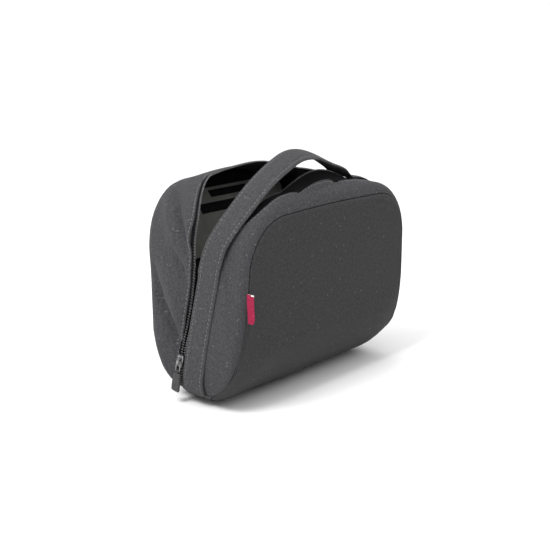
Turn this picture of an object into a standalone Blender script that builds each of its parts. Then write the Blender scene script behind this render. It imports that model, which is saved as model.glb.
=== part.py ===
"""A soft handlebar bag with its zip half open, built from lofted walls of cloth and a few hard fittings.

Lengths are in metres. The bag stands on z = 0, its front faces -Y and its zip slider is on the -X side.
A place on a half of the bag is given by two numbers. The girth runs round the bag: 0 is the middle of the
bottom, 1 the middle of the top, reached up the left side, and 2 the bottom again, down the right side.
The depth runs from the face to the zip: 0 is the face's centre, 1 the face's edge, 2 the end of the
rounding behind that edge, and 3 the zip.
"""
import math
from collections import namedtuple

import bmesh
import bpy
from mathutils import Matrix, Vector

# Overall sizes of the bag
HALF_WIDTH = 0.135
HEIGHT = 0.217
FRONT_DEPTH = 0.084
BACK_DEPTH = 0.021
ZIP_DEPTH = 0.002
FRONT_LEAN = -0.064
BACK_LEAN = 0.200
ZIP_LEAN = -0.190
OPENING = 0.084

# Walls, seams and the zip
WALL = 0.0020
GAP = 0.0003
FRONT_ROUNDING = 0.067
BACK_ROUNDING = 0.013
TAPE_WIDTH = 0.0085
TAPE_THICKNESS = 0.0012
TAPE_SINK = 0.0004
COIL_RADIUS = 0.0013

# Girth places of the bottom panel's end seams, the slider and the label
GUSSET_END = 0.300
SLIDER_GIRTH = 0.392
LABEL_GIRTH = 0.495

# Depth places of the back panel's seam and of the middle of a gusset
REAR_SEAM = 1.40
GUSSET_MIDDLE = 2.5

# Strap
STRAP_WIDTH = 0.029
STRAP_THICKNESS = 0.0020
STRAP_SETBACK = 0.0047
STRAP_LIFT = 0.0005
STRAP_LEFT_LIFT = 0.600
STRAP_RIGHT_LIFT = 0.850

# Slider, link and tab
SLIDER_WIDTH = 0.0080
SLIDER_LENGTH = 0.0130
SLIDER_THICKNESS = 0.0027
BRIDGE_WIDTH = 0.0028
BRIDGE_LENGTH = 0.0078
BRIDGE_WALL = 0.0009
WIRE_RADIUS = 0.0007
LINK_CLEARANCE = 0.0005
LINK_LENGTH = 0.0110
LINK_CORNER = 0.60
TAB_WIDTH = 0.0105
TAB_LENGTH = 0.0210
TAB_THICKNESS = 0.0030

# Label, board and plate
LABEL_HEIGHT = 0.0290
LABEL_REACH = 0.0080
LABEL_THICKNESS = 0.0012
BOARD_WIDTH = 0.176
BOARD_HEIGHT = 0.072
BOARD_DROP = 0.0077
BOARD_THICKNESS = 0.0025
PLATE_WIDTH = 0.074
PLATE_HEIGHT = 0.060
PLATE_BASE = 0.105
PLATE_THICKNESS = 0.0060

# Outlines of the bag's sections: widths and radii as shares of HALF_WIDTH, heights as shares of HEIGHT
Section = namedtuple("Section", "half_width base height low_radius top_radius crown belly")
SECTIONS = {
    "front_face": Section(0.905, 0.320, 0.868, 0.250, 0.300, 0.000, 0.012),
    "front_gusset": Section(0.995, 0.000, 0.970, 0.240, 0.500, 0.015, 0.012),
    "front_rim": Section(0.995, 0.000, 0.990, 0.240, 0.600, 0.075, 0.012),
    "back_face": Section(0.945, 0.040, 0.960, 0.260, 0.500, 0.018, 0.040),
    "back_gusset": Section(1.000, 0.000, 1.000, 0.250, 0.540, 0.020, 0.040),
    "back_rim": Section(0.995, 0.000, 1.045, 0.240, 0.480, 0.022, 0.012),
}

# Girth places where an outline passes from one stretch to the next
STRETCHES = (0.0, 0.21, 0.36, 0.59, 0.86, 1.0)
STRETCH_STEPS = (3, 6, 7, 9, 4)
NEAREST_PLACES = 0.006

# How far the two edges stand from the closed zip's line, as shares of OPENING
Opening = namedtuple("Opening", "girth front back")
OPENINGS = (
    Opening(0.000, 0.000, 0.000),
    Opening(0.400, 0.000, 0.000),
    Opening(0.480, 0.045, -0.030),
    Opening(0.540, 0.070, -0.010),
    Opening(0.600, 0.100, 0.050),
    Opening(0.670, 0.165, 0.130),
    Opening(0.715, 0.250, 0.230),
    Opening(0.755, 0.310, 0.340),
    Opening(0.815, 0.335, 0.510),
    Opening(0.865, 0.320, 0.620),
    Opening(1.000, 0.300, 0.690),
)

# The front half's rounding, as shares of FRONT_ROUNDING, and the depth place of the front panel's seam
FrontEdge = namedtuple("FrontEdge", "girth rounding seam")
FRONT_EDGES = (
    FrontEdge(0.000, 1.00, 2.00),
    FrontEdge(0.210, 1.00, 2.00),
    FrontEdge(0.290, 0.76, 2.00),
    FrontEdge(0.325, 0.58, 1.86),
    FrontEdge(0.360, 0.40, 1.58),
    FrontEdge(0.430, 0.23, 1.37),
    FrontEdge(0.500, 0.18, 1.34),
    FrontEdge(0.600, 0.16, 1.34),
    FrontEdge(1.000, 0.15, 1.34),
)

# The strap's free stretch: places as shares of HALF_WIDTH and HEIGHT, the rest as shares of STRAP_WIDTH
StrapPlace = namedtuple("StrapPlace", "across up crown tilt")
STRAP_PLACES = (
    StrapPlace(-0.975, 0.775, 0.00, 0.00),
    StrapPlace(-0.898, 0.876, 0.01, -0.05),
    StrapPlace(-0.780, 0.966, 0.02, -0.10),
    StrapPlace(-0.640, 1.041, 0.04, -0.06),
    StrapPlace(-0.440, 1.092, 0.06, 0.00),
    StrapPlace(-0.220, 1.129, 0.06, 0.08),
    StrapPlace(-0.040, 1.131, 0.06, 0.12),
    StrapPlace(0.150, 1.094, 0.05, 0.07),
    StrapPlace(0.300, 1.050, 0.03, 0.03),
)
STRAP_STEPS = 3
STRAP_COLUMNS = 4

# Slots of the inner board: left and right ends and edges, as shares of the board's half width and height
Slot = namedtuple("Slot", "half_width slant bottom top")
SLOTS = (
    Slot(0.360, 0.050, 0.845, 0.955),
    Slot(0.560, 0.060, 0.620, 0.770),
)
BOARD_CHAMFER = 0.16

# A panel's rings, as depth places of its face and as shares of its rounding, and the rounding's form
FACE_RINGS = (0.30, 0.62, 0.88, 1.0)
ROUNDING_RINGS = (0.35, 0.70, 1.0)
ROUNDING_EXPONENT = 1.7

# Steps of girth and depth for finding directions and lengths on a surface
NORMAL_STEP = 0.004
LENGTH_STEP = 0.010

# Rounded edges, as shares of a piece's thickness
SOFT_EDGE = 0.35
CRISP_EDGE = 0.20


def section(name):
    """The named outline in metres."""
    row = SECTIONS[name]
    return Section(
        row.half_width * HALF_WIDTH,
        row.base * HEIGHT,
        row.height * HEIGHT,
        row.low_radius * HALF_WIDTH,
        row.top_radius * HALF_WIDTH,
        row.crown * HEIGHT,
        row.belly * HALF_WIDTH,
    )


def blend(first, second, share):
    """An outline between two others."""
    return Section(*(a + (b - a) * share for a, b in zip(first, second)))


def half_girth(girth):
    """The girth place on the left side that matches a place anywhere round the bag."""
    girth = abs(girth)
    return 2.0 - girth if girth > 1.0 else girth


def outline_point(ring, girth):
    """The point (x, z) of an outline at a girth place."""
    side = 1.0 if girth < 0.0 or girth > 1.0 else -1.0
    girth = half_girth(girth)
    stretch = 0
    while stretch < len(STRETCH_STEPS) - 1 and girth > STRETCHES[stretch + 1]:
        stretch += 1
    start, end = STRETCHES[stretch], STRETCHES[stretch + 1]
    share = (girth - start) / (end - start)
    angle = share * math.pi / 2
    low, top = ring.low_radius, ring.top_radius
    if stretch == 0:
        x, z = (ring.half_width - low) * share, ring.base
    elif stretch == 1:
        x = ring.half_width - low + low * math.sin(angle)
        z = ring.base + low - low * math.cos(angle)
    elif stretch == 2:
        x = ring.half_width
        z = ring.base + low + (ring.height - top - ring.base - low) * share
    elif stretch == 3:
        x = ring.half_width - top + top * math.cos(angle)
        z = ring.height - top + top * math.sin(angle)
    else:
        x = (ring.half_width - top) * (1 - share)
        z = ring.height + ring.crown * math.sin(angle)
    if stretch in (1, 2, 3):
        x += ring.belly * math.sin(2 * math.pi * (z - ring.base) / (ring.height - ring.base))
    return side * x, z


def smooth_value(first, last, rise_in, rise_out, share):
    """A value between two others, on a cubic curve with the given rises at its ends."""
    square = share ** 2
    cube = share ** 3
    return (
        first * (2 * cube - 3 * square + 1)
        + rise_in * (cube - 2 * square + share)
        + last * (3 * square - 2 * cube)
        + rise_out * (cube - square)
    )


def read_table(rows, column, girth):
    """A column's value at a girth place, on a smooth curve through the table's rows."""
    place = half_girth(girth)
    index = 0
    while index < len(rows) - 2 and place > rows[index + 1].girth:
        index += 1
    before, after = rows[max(index - 1, 0)], rows[min(index + 2, len(rows) - 1)]
    start, end = rows[index], rows[index + 1]
    length = end.girth - start.girth
    first, last = getattr(start, column), getattr(end, column)
    rise_in = (last - getattr(before, column)) / (end.girth - before.girth) * length
    rise_out = (getattr(after, column) - first) / (after.girth - start.girth) * length
    return smooth_value(first, last, rise_in, rise_out, (place - start.girth) / length)


def zip_line(z):
    """The closed zip's distance behind the origin at a height."""
    return ZIP_DEPTH + ZIP_LEAN * z


def rounded(share):
    """Sideways and rearward shares along a rounding, whose form lies between an arc and a bevel."""
    angle = share * math.pi / 2
    power = 2.0 / ROUNDING_EXPONENT
    return math.sin(angle) ** power, 1.0 - math.cos(angle) ** power


def front_point(girth, depth):
    """A point on the front half's outer surface."""
    face, full, rim = section("front_face"), section("front_gusset"), section("front_rim")
    if depth <= 1.0:
        x, z = outline_point(face, girth)
        middle = (face.base + face.height) / 2
        x, z = x * depth, middle + (z - middle) * depth
        return Vector((x, -FRONT_DEPTH + FRONT_LEAN * z, z))
    _, face_z = outline_point(face, girth)
    face_y = -FRONT_DEPTH + FRONT_LEAN * face_z
    round_end = face_y + FRONT_ROUNDING * read_table(FRONT_EDGES, "rounding", girth)
    if depth <= 2.0:
        sideways, rearward = rounded(depth - 1.0)
        x, z = outline_point(blend(face, full, sideways), girth)
        return Vector((x, face_y + (round_end - face_y) * rearward, z))
    x, z = outline_point(blend(full, rim, depth - 2.0), girth)
    _, rim_z = outline_point(rim, girth)
    rim_y = zip_line(rim_z) - GAP / 2 - OPENING * read_table(OPENINGS, "front", girth)
    return Vector((x, round_end + (rim_y - round_end) * (depth - 2.0), z))


def back_point(girth, depth):
    """A point on the back half's outer surface."""
    face, full, rim = section("back_face"), section("back_gusset"), section("back_rim")
    if depth <= 1.0:
        x, z = outline_point(face, girth)
        middle = (face.base + face.height) / 2
        x, z = x * depth, middle + (z - middle) * depth
        return Vector((x, BACK_DEPTH + BACK_LEAN * z, z))
    _, face_z = outline_point(face, girth)
    face_y = BACK_DEPTH + BACK_LEAN * face_z
    if depth <= 2.0:
        sideways, rearward = rounded(depth - 1.0)
        x, z = outline_point(blend(face, full, sideways), girth)
        return Vector((x, face_y - BACK_ROUNDING * rearward, z))
    x, z = outline_point(blend(full, rim, depth - 2.0), girth)
    round_end = face_y - BACK_ROUNDING
    _, rim_z = outline_point(rim, girth)
    rim_y = zip_line(rim_z) + GAP / 2 + OPENING * read_table(OPENINGS, "back", girth)
    return Vector((x, round_end + (rim_y - round_end) * (depth - 2.0), z))


def body_point(girth, depth):
    """A point on the whole bag: depths over 3 run on from the zip to the back face, which is 6."""
    if depth <= 3.0:
        return front_point(girth, depth)
    return back_point(girth, 6.0 - depth)


def normal_at(surface, girth, depth):
    """The outward direction of a surface, from small steps both ways."""
    near = max(depth, FACE_RINGS[0])
    around = surface(girth + NORMAL_STEP, near) - surface(girth - NORMAL_STEP, near)
    along = surface(girth, near + NORMAL_STEP) - surface(girth, near - NORMAL_STEP)
    direction = around.cross(along).normalized()
    middle = Vector((0.0, surface(girth, 0.0).y * 0.5, HEIGHT / 2))
    if direction.dot(surface(girth, depth) - middle) < 0.0:
        direction.negate()
    return direction


def move_depth(surface, girth, depth, distance):
    """The depth place that lies a distance further along the surface."""
    ends = surface(girth, depth - LENGTH_STEP), surface(girth, depth + LENGTH_STEP)
    return depth + distance * 2 * LENGTH_STEP / (ends[1] - ends[0]).length


def move_girth(surface, girth, depth, distance):
    """The girth place that lies a distance further round the surface."""
    ends = surface(girth - LENGTH_STEP, depth), surface(girth + LENGTH_STEP, depth)
    return girth + distance * 2 * LENGTH_STEP / (ends[1] - ends[0]).length


def girth_places(start, end):
    """The shared girth places between two others, so that neighbouring walls have matching facets."""
    half = []
    for stretch, steps in enumerate(STRETCH_STEPS):
        first, last = STRETCHES[stretch], STRETCHES[stretch + 1]
        half += [first + (last - first) * step / steps for step in range(steps)]
    half.append(1.0)
    loop = sorted({round(turn + side * place, 6) for place in half for turn in (0, 2) for side in (-1, 1)})
    between = [place for place in loop if start + NEAREST_PLACES < place < end - NEAREST_PLACES]
    return [start] + between + [end]


def material(name, colour, roughness, metallic=0.0):
    """A plain surface finish."""
    finish = bpy.data.materials.new(name)
    finish.use_nodes = True
    shader = finish.node_tree.nodes["Principled BSDF"]
    shader.inputs["Base Color"].default_value = (*colour, 1.0)
    shader.inputs["Roughness"].default_value = roughness
    shader.inputs["Metallic"].default_value = metallic
    return finish


def add_object(name, data, finish, parts, parent=None):
    """Link a piece into the part's collection."""
    piece = bpy.data.objects.new(name, data)
    piece.data.materials.append(finish)
    parts.objects.link(piece)
    piece.parent = parent
    return piece


def close_loft(bm, outer, inner, is_loop):
    """Faces of a wall between two grids of points, rows by columns, with its edges closed."""
    rows, columns = len(outer), len(outer[0])
    top = [[bm.verts.new(point) for point in row] for row in outer]
    under = [[bm.verts.new(point) for point in row] for row in inner]
    last = rows if is_loop else rows - 1
    for row in range(last):
        after = (row + 1) % rows
        for column in range(columns - 1):
            near, far = column, column + 1
            bm.faces.new((top[row][near], top[row][far], top[after][far], top[after][near]))
            bm.faces.new((under[row][near], under[after][near], under[after][far], under[row][far]))
        for column in (0, columns - 1):
            bm.faces.new((top[row][column], top[after][column], under[after][column], under[row][column]))
    if not is_loop:
        for row in (0, rows - 1):
            for near in range(columns - 1):
                far = near + 1
                bm.faces.new((top[row][near], top[row][far], under[row][far], under[row][near]))
    bmesh.ops.recalc_face_normals(bm, faces=bm.faces)


def mesh_from(name, bm):
    """A mesh with smooth faces and crisp edges."""
    mesh = bpy.data.meshes.new(name)
    bm.to_mesh(mesh)
    bm.free()
    mesh.shade_smooth()
    mesh.set_sharp_from_angle(angle=math.radians(40))
    return mesh


def wall(name, surface, places, depths_at, thickness=WALL, sink=0.0):
    """A wall of cloth over a stretch of a surface: depths_at gives each girth place its depth places."""
    outer, inner = [], []
    for girth in places:
        depths = depths_at(girth)
        points = [surface(girth, depth) for depth in depths]
        normals = [normal_at(surface, girth, depth) for depth in depths]
        outer.append([point - normal * sink for point, normal in zip(points, normals)])
        inner.append([point - normal * (sink + thickness) for point, normal in zip(points, normals)])
    bm = bmesh.new()
    close_loft(bm, outer, inner, is_loop=False)
    return mesh_from(name, bm)


def panel(name, surface, edge_depth):
    """A face panel of the bag: rings from near the centre to its seam, closed across the centre."""
    places = girth_places(0.0, 2.0)[:-1]
    outer, inner = [], []
    for girth in places:
        edge = edge_depth(girth)
        steps = [1.0 + (edge - 1.0) * share for share in ROUNDING_RINGS]
        depths = list(FACE_RINGS) + steps
        points = [surface(girth, depth) for depth in depths]
        normals = [normal_at(surface, girth, depth) for depth in depths]
        outer.append(points)
        inner.append([point - normal * WALL for point, normal in zip(points, normals)])
    bm = bmesh.new()
    close_loft(bm, outer, inner, is_loop=True)
    bm.verts.ensure_lookup_table()
    columns = len(outer[0])
    count = len(places)
    hole = [bm.verts[row * columns] for row in range(count)]
    hole_under = [bm.verts[(count + row) * columns] for row in range(count)]
    ring_faces = [face for face in bm.faces if all(vert in hole or vert in hole_under for vert in face.verts)]
    bmesh.ops.delete(bm, geom=ring_faces, context="FACES_ONLY")
    bm.faces.new(hole)
    bm.faces.new(hole_under)
    bmesh.ops.recalc_face_normals(bm, faces=bm.faces)
    return mesh_from(name, bm)


def seam_depth(girth):
    """Where the front panel's seam lies."""
    return read_table(FRONT_EDGES, "seam", girth)


def spaced(start, end, steps):
    """Evenly spaced values from start to end."""
    return [start + (end - start) * step / steps for step in range(steps + 1)]


def make_front_panel(parts, finish):
    def edge(girth):
        return move_depth(front_point, girth, seam_depth(girth), -GAP / 2)
    add_object("front_panel", panel("front_panel", front_point, edge), finish, parts)


def make_back_panel(parts, finish):
    def edge(girth):
        return move_depth(back_point, girth, REAR_SEAM, -GAP / 2)
    add_object("back_panel", panel("back_panel", back_point, edge), finish, parts)


def make_bottom_panel(parts, finish):
    def depths(girth):
        front = move_depth(front_point, girth, seam_depth(girth), GAP / 2)
        back = move_depth(back_point, girth, REAR_SEAM, GAP / 2)
        return spaced(front, 3.0, 3) + spaced(4.0, 6.0 - back, 2)
    end = move_girth(front_point, GUSSET_END, GUSSET_MIDDLE, -GAP / 2)
    mesh = wall("bottom_panel", body_point, girth_places(-end, end), depths)
    add_object("bottom_panel", mesh, finish, parts)


def gusset_places(surface):
    """Girth places of a gusset, from its left end over the top to its right end."""
    start = move_girth(surface, GUSSET_END, GUSSET_MIDDLE, GAP / 2)
    return girth_places(start, 2.0 - start)


def make_gussets(parts, finish):
    def front_depths(girth):
        start = move_depth(front_point, girth, seam_depth(girth), GAP / 2)
        end = move_depth(front_point, girth, 3.0, -TAPE_WIDTH - GAP)
        turn = max(start + (end - start) / 4, 2.0)
        return spaced(start, turn, 2) + spaced(turn, end, 2)[1:]

    def back_depths(girth):
        start = move_depth(back_point, girth, REAR_SEAM, GAP / 2)
        end = move_depth(back_point, girth, 3.0, -TAPE_WIDTH - GAP)
        return spaced(start, 2.0, 2) + spaced(2.0, end, 3)[1:]

    mesh = wall("front_gusset", front_point, gusset_places(front_point), front_depths)
    add_object("front_gusset", mesh, finish, parts)
    mesh = wall("back_gusset", back_point, gusset_places(back_point), back_depths)
    add_object("back_gusset", mesh, finish, parts)


def make_zip_edge(parts, name, surface, tape_finish, coil_finish):
    """One side of the zip: its tape, and the coil along the tape's free edge."""
    def depths(girth):
        start = move_depth(surface, girth, 3.0, -TAPE_WIDTH)
        end = move_depth(surface, girth, 3.0, -2 * COIL_RADIUS - GAP)
        return [start, end]
    places = gusset_places(surface)
    mesh = wall(name + "_zip_tape", surface, places, depths, TAPE_THICKNESS, TAPE_SINK)
    add_object(name + "_zip_tape", mesh, tape_finish, parts)
    curve = bpy.data.curves.new(name + "_zip_coil", "CURVE")
    curve.dimensions = "3D"
    curve.bevel_depth = COIL_RADIUS
    curve.bevel_resolution = 1
    curve.use_fill_caps = True
    spline = curve.splines.new("POLY")
    spline.points.add(len(places) - 1)
    for point, girth in zip(spline.points, places):
        depth = move_depth(surface, girth, 3.0, -COIL_RADIUS)
        centre = surface(girth, depth) - normal_at(surface, girth, depth) * COIL_RADIUS
        point.co = (*centre, 1.0)
    add_object(name + "_zip_coil", curve, coil_finish, parts)


def strap_on_body(girth):
    """A row of points across the strap's inner side where it lies on the front gusset."""
    _, z = outline_point(section("front_gusset"), girth)
    start, end = front_point(girth, 2.0), front_point(girth, 3.0)
    row = []
    for share in spaced(-1.0, 1.0, STRAP_COLUMNS):
        y = strap_middle(z) + share * STRAP_WIDTH / 2
        depth = min(3.0, 2.0 + (y - start.y) / (end.y - start.y))
        point = front_point(girth, depth)
        normal = normal_at(front_point, girth, min(depth, 2.9))
        out = Vector((normal.x, 0.0, normal.z)).normalized()
        row.append(Vector((point.x, y, point.z)) + out * STRAP_LIFT)
    return row


def strap_in_air(knot, along):
    """A row of points across the strap's inner side where it stands clear as a handle."""
    x, z, crown, tilt = knot
    out = Vector((-along.z, 0.0, along.x))
    row = []
    for share in spaced(-1.0, 1.0, STRAP_COLUMNS):
        rise = STRAP_WIDTH * (crown * (1 - share ** 2) + tilt * share)
        y = strap_middle(z) + share * STRAP_WIDTH / 2
        row.append(Vector((x, y, z)) + out * rise)
    return row


def strap_rows():
    """The strap's inner side: up the left side, through the air as a handle and down the right side."""
    start = move_girth(front_point, GUSSET_END, GUSSET_MIDDLE, GAP)
    left = [strap_on_body(girth) for girth in girth_places(start, STRAP_LEFT_LIFT)]
    right = [strap_on_body(girth) for girth in girth_places(2.0 - STRAP_RIGHT_LIFT, 2.0 - start)]
    middle = STRAP_COLUMNS // 2
    knots = [(row[middle].x, row[middle].z, 0.0, 0.0) for row in left[-2:]]
    for place in STRAP_PLACES:
        knots.append((place.across * HALF_WIDTH, place.up * HEIGHT, place.crown, place.tilt))
    knots += [(row[middle].x, row[middle].z, 0.0, 0.0) for row in right[:2]]
    smooth = []
    for index in range(1, len(knots) - 2):
        for step in range(STRAP_STEPS):
            smooth.append(spline_value(knots[index - 1:index + 3], step / STRAP_STEPS))
    smooth.append(knots[-2])
    air = []
    for index in range(1, len(smooth) - 1):
        before, after = smooth[index - 1], smooth[index + 1]
        along = Vector((after[0] - before[0], 0.0, after[1] - before[1])).normalized()
        air.append(strap_in_air(smooth[index], along))
    return left + air + right


def spline_value(knots, share):
    """A place between the middle two of four knots, on a smooth curve through them."""
    values = []
    for before, start, end, after in zip(*knots):
        values.append(smooth_value(start, end, (end - before) / 2, (after - start) / 2, share))
    return tuple(values)


def strap_middle(z):
    """The strap's middle line: its distance behind the origin at a height."""
    return zip_line(z) - STRAP_SETBACK - STRAP_WIDTH / 2


def make_strap(parts, finish):
    inner = strap_rows()
    outer = []
    for index, row in enumerate(inner):
        before, after = inner[max(index - 1, 0)], inner[min(index + 1, len(inner) - 1)]
        outer_row = []
        for column, point in enumerate(row):
            left, right = max(column - 1, 0), min(column + 1, STRAP_COLUMNS)
            along = after[column] - before[column]
            across = row[right] - row[left]
            outer_row.append(point + along.cross(across).normalized() * STRAP_THICKNESS)
        outer.append(outer_row)
    bm = bmesh.new()
    close_loft(bm, outer, inner, is_loop=False)
    add_object("carry_strap", mesh_from("carry_strap", bm), finish, parts)


def add_box(name, size, centre, finish, collection, bevel=0.0, parent=None):
    """A box of a given size about a centre in its parent's frame."""
    bm = bmesh.new()
    bmesh.ops.create_cube(bm, size=1.0, matrix=Matrix.Translation(centre) @ Matrix.Diagonal((*size, 1.0)))
    piece = add_object(name, mesh_from(name, bm), finish, collection, parent)
    if bevel:
        modifier = piece.modifiers.new("rounded edges", "BEVEL")
        modifier.width = bevel
        modifier.segments = 2
    return piece


def add_boolean(piece, other, operation):
    """Join another shape to a piece, or cut it out."""
    other.hide_render = True
    other.display_type = "WIRE"
    modifier = piece.modifiers.new(operation.lower(), "BOOLEAN")
    modifier.operation = operation
    modifier.object = other


def zip_frame():
    """The slider's frame: X out of the bag's left side, Y across the zip and Z up along it."""
    x, height = outline_point(section("front_rim"), SLIDER_GIRTH)
    origin = Vector((x, zip_line(height), height))
    along = Vector((0.0, ZIP_LEAN, 1.0)).normalized()
    out = Vector((-1.0, 0.0, 0.0))
    across = along.cross(out)
    rotation = Matrix((out, across, along)).transposed().to_4x4()
    return Matrix.Translation(origin) @ rotation


def wire_offset():
    """How far the link's wire lies out from the bag's side."""
    return GAP + SLIDER_THICKNESS + LINK_CLEARANCE + WIRE_RADIUS


def make_slider(parts, cutters, finish):
    frame = bpy.data.objects.new("slider_frame", None)
    parts.objects.link(frame)
    frame.matrix_world = zip_frame()
    plate = add_box(
        "zip_slider",
        (SLIDER_THICKNESS, SLIDER_WIDTH, SLIDER_LENGTH),
        (GAP + SLIDER_THICKNESS / 2, 0.0, 0.0),
        finish, parts, SLIDER_THICKNESS * CRISP_EDGE, frame,
    )
    hole_depth = 2 * (WIRE_RADIUS + LINK_CLEARANCE)
    bridge_depth = hole_depth + BRIDGE_WALL
    sunk = SLIDER_THICKNESS / 2
    bridge_start = GAP + SLIDER_THICKNESS - sunk
    bridge = add_box(
        "slider_bridge",
        (bridge_depth + sunk, BRIDGE_WIDTH, BRIDGE_LENGTH),
        (bridge_start + (bridge_depth + sunk) / 2, 0.0, 0.0),
        finish, cutters, BRIDGE_WALL * SOFT_EDGE, frame,
    )
    add_boolean(plate, bridge, "UNION")
    hole = add_box(
        "bridge_hole",
        (hole_depth, BRIDGE_WIDTH * 2, BRIDGE_LENGTH - 2 * BRIDGE_WALL),
        (GAP + SLIDER_THICKNESS + hole_depth / 2, 0.0, 0.0),
        finish, cutters, 0.0, frame,
    )
    add_boolean(plate, hole, "DIFFERENCE")


def make_pull(parts, cutters, link_finish, tab_finish):
    """The link and the tab, which hang along the zip from a pivot inside the bridge."""
    pivot = bpy.data.objects.new("zip_pull_pivot", None)
    parts.objects.link(pivot)
    pivot.matrix_world = zip_frame() @ Matrix.Translation((wire_offset(), 0.0, 0.0))
    half_width = BRIDGE_WIDTH / 2 + LINK_CLEARANCE + WIRE_RADIUS
    corner = half_width * LINK_CORNER
    curve = bpy.data.curves.new("pull_link", "CURVE")
    curve.dimensions = "3D"
    curve.bevel_depth = WIRE_RADIUS
    curve.bevel_resolution = 1
    spline = curve.splines.new("POLY")
    spline.use_cyclic_u = True
    points = []
    middles = (
        (half_width - corner, -corner), (-half_width + corner, -corner),
        (-half_width + corner, corner - LINK_LENGTH), (half_width - corner, corner - LINK_LENGTH),
    )
    for quarter, (across, along) in enumerate(middles):
        for share in spaced(0.0, 1.0, 3):
            angle = math.pi / 2 * (quarter + share)
            points.append((across + corner * math.cos(angle), along + corner * math.sin(angle)))
    spline.points.add(len(points) - 1)
    for point, (across, along) in zip(spline.points, points):
        point.co = (0.0, across, along, 1.0)
    add_object("pull_link", curve, link_finish, parts, pivot)

    neck_width = 2 * (half_width - WIRE_RADIUS - LINK_CLEARANCE)
    neck_top = -LINK_LENGTH + TAB_THICKNESS / 2
    tab_top = -LINK_LENGTH - WIRE_RADIUS - 2 * LINK_CLEARANCE
    tab = add_box(
        "pull_tab",
        (TAB_THICKNESS, TAB_WIDTH, TAB_LENGTH),
        (0.0, 0.0, tab_top - TAB_LENGTH / 2),
        tab_finish, parts, TAB_THICKNESS * SOFT_EDGE, pivot,
    )
    neck_length = neck_top - tab_top + TAB_THICKNESS
    neck = add_box(
        "tab_neck",
        (TAB_THICKNESS, neck_width, neck_length),
        (0.0, 0.0, neck_top - neck_length / 2),
        tab_finish, cutters, TAB_THICKNESS * CRISP_EDGE, pivot,
    )
    add_boolean(tab, neck, "UNION")
    bm = bmesh.new()
    bmesh.ops.create_cone(
        bm, cap_ends=True, segments=12, radius1=WIRE_RADIUS + GAP, radius2=WIRE_RADIUS + GAP,
        depth=TAB_WIDTH * 2,
        matrix=Matrix.Translation((0.0, 0.0, -LINK_LENGTH)) @ Matrix.Rotation(math.pi / 2, 4, "X"),
    )
    hole = add_object("neck_hole", mesh_from("neck_hole", bm), tab_finish, cutters, pivot)
    add_boolean(tab, hole, "DIFFERENCE")


def make_label(parts, finish):
    """The bare tab that is sewn into the front panel's left seam and stands forward from it."""
    depth = seam_depth(LABEL_GIRTH)
    root = front_point(LABEL_GIRTH, depth)
    normal = normal_at(front_point, LABEL_GIRTH, depth)
    start = root + normal * (GAP + LABEL_THICKNESS / 2)
    centre = start + Vector((0.0, -LABEL_REACH / 2, 0.0))
    label = add_box(
        "side_label", (LABEL_THICKNESS, LABEL_REACH, LABEL_HEIGHT), (0.0, 0.0, 0.0),
        finish, parts, LABEL_THICKNESS * SOFT_EDGE,
    )
    label.location = centre


def back_frame(height, distance):
    """A frame on the back face at a height, a distance inside it: X right, Y rearward, Z up the face."""
    up = Vector((0.0, BACK_LEAN, 1.0)).normalized()
    rear = Vector((0.0, 1.0, -BACK_LEAN)).normalized()
    origin = Vector((0.0, BACK_DEPTH + BACK_LEAN * height, height)) - rear * distance
    rotation = Matrix((Vector((1.0, 0.0, 0.0)), rear, up)).transposed().to_4x4()
    return Matrix.Translation(origin) @ rotation


def make_board(parts, finish):
    """The stiff board with two slots that lies against the back panel's inner side, under its top edge."""
    half = BOARD_WIDTH / 2
    chamfer = BOARD_CHAMFER * BOARD_HEIGHT
    edge = [
        (-half + chamfer, 0.0), (half - chamfer, 0.0), (half, chamfer), (half, BOARD_HEIGHT - chamfer),
        (half - chamfer, BOARD_HEIGHT), (-half + chamfer, BOARD_HEIGHT), (-half, BOARD_HEIGHT - chamfer),
        (-half, chamfer),
    ]
    outlines = [edge]
    for slot in SLOTS:
        wide, narrow = slot.half_width * half, (slot.half_width - slot.slant) * half
        low, high = slot.bottom * BOARD_HEIGHT, slot.top * BOARD_HEIGHT
        outlines.append([(-narrow, low), (-wide, high), (wide, high), (narrow, low)])
    curve = bpy.data.curves.new("inner_board", "CURVE")
    curve.dimensions = "2D"
    curve.fill_mode = "BOTH"
    curve.extrude = BOARD_THICKNESS / 2
    for outline in outlines:
        spline = curve.splines.new("POLY")
        spline.use_cyclic_u = True
        spline.points.add(len(outline) - 1)
        for point, (x, z) in zip(spline.points, outline):
            point.co = (x, z, 0.0, 1.0)
    board = add_object("inner_board", curve, finish, parts)
    distance = WALL + GAP + BOARD_THICKNESS / 2
    top = back_frame(section("back_face").height - BOARD_DROP, distance)
    base = top @ Matrix.Translation((0.0, 0.0, -BOARD_HEIGHT))
    board.matrix_world = base @ Matrix.Rotation(math.pi / 2, 4, "X")
    weld = board.modifiers.new("joined caps", "WELD")
    weld.merge_threshold = 0.00005


def make_mount_plate(parts, finish):
    """The plain plate on the back, where the bag is fastened."""
    plate = add_box(
        "mount_plate", (PLATE_WIDTH, PLATE_THICKNESS, PLATE_HEIGHT), (0.0, 0.0, 0.0),
        finish, parts, PLATE_THICKNESS * CRISP_EDGE,
    )
    plate.matrix_world = back_frame(PLATE_BASE + PLATE_HEIGHT / 2, -GAP - PLATE_THICKNESS / 2)


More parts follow.
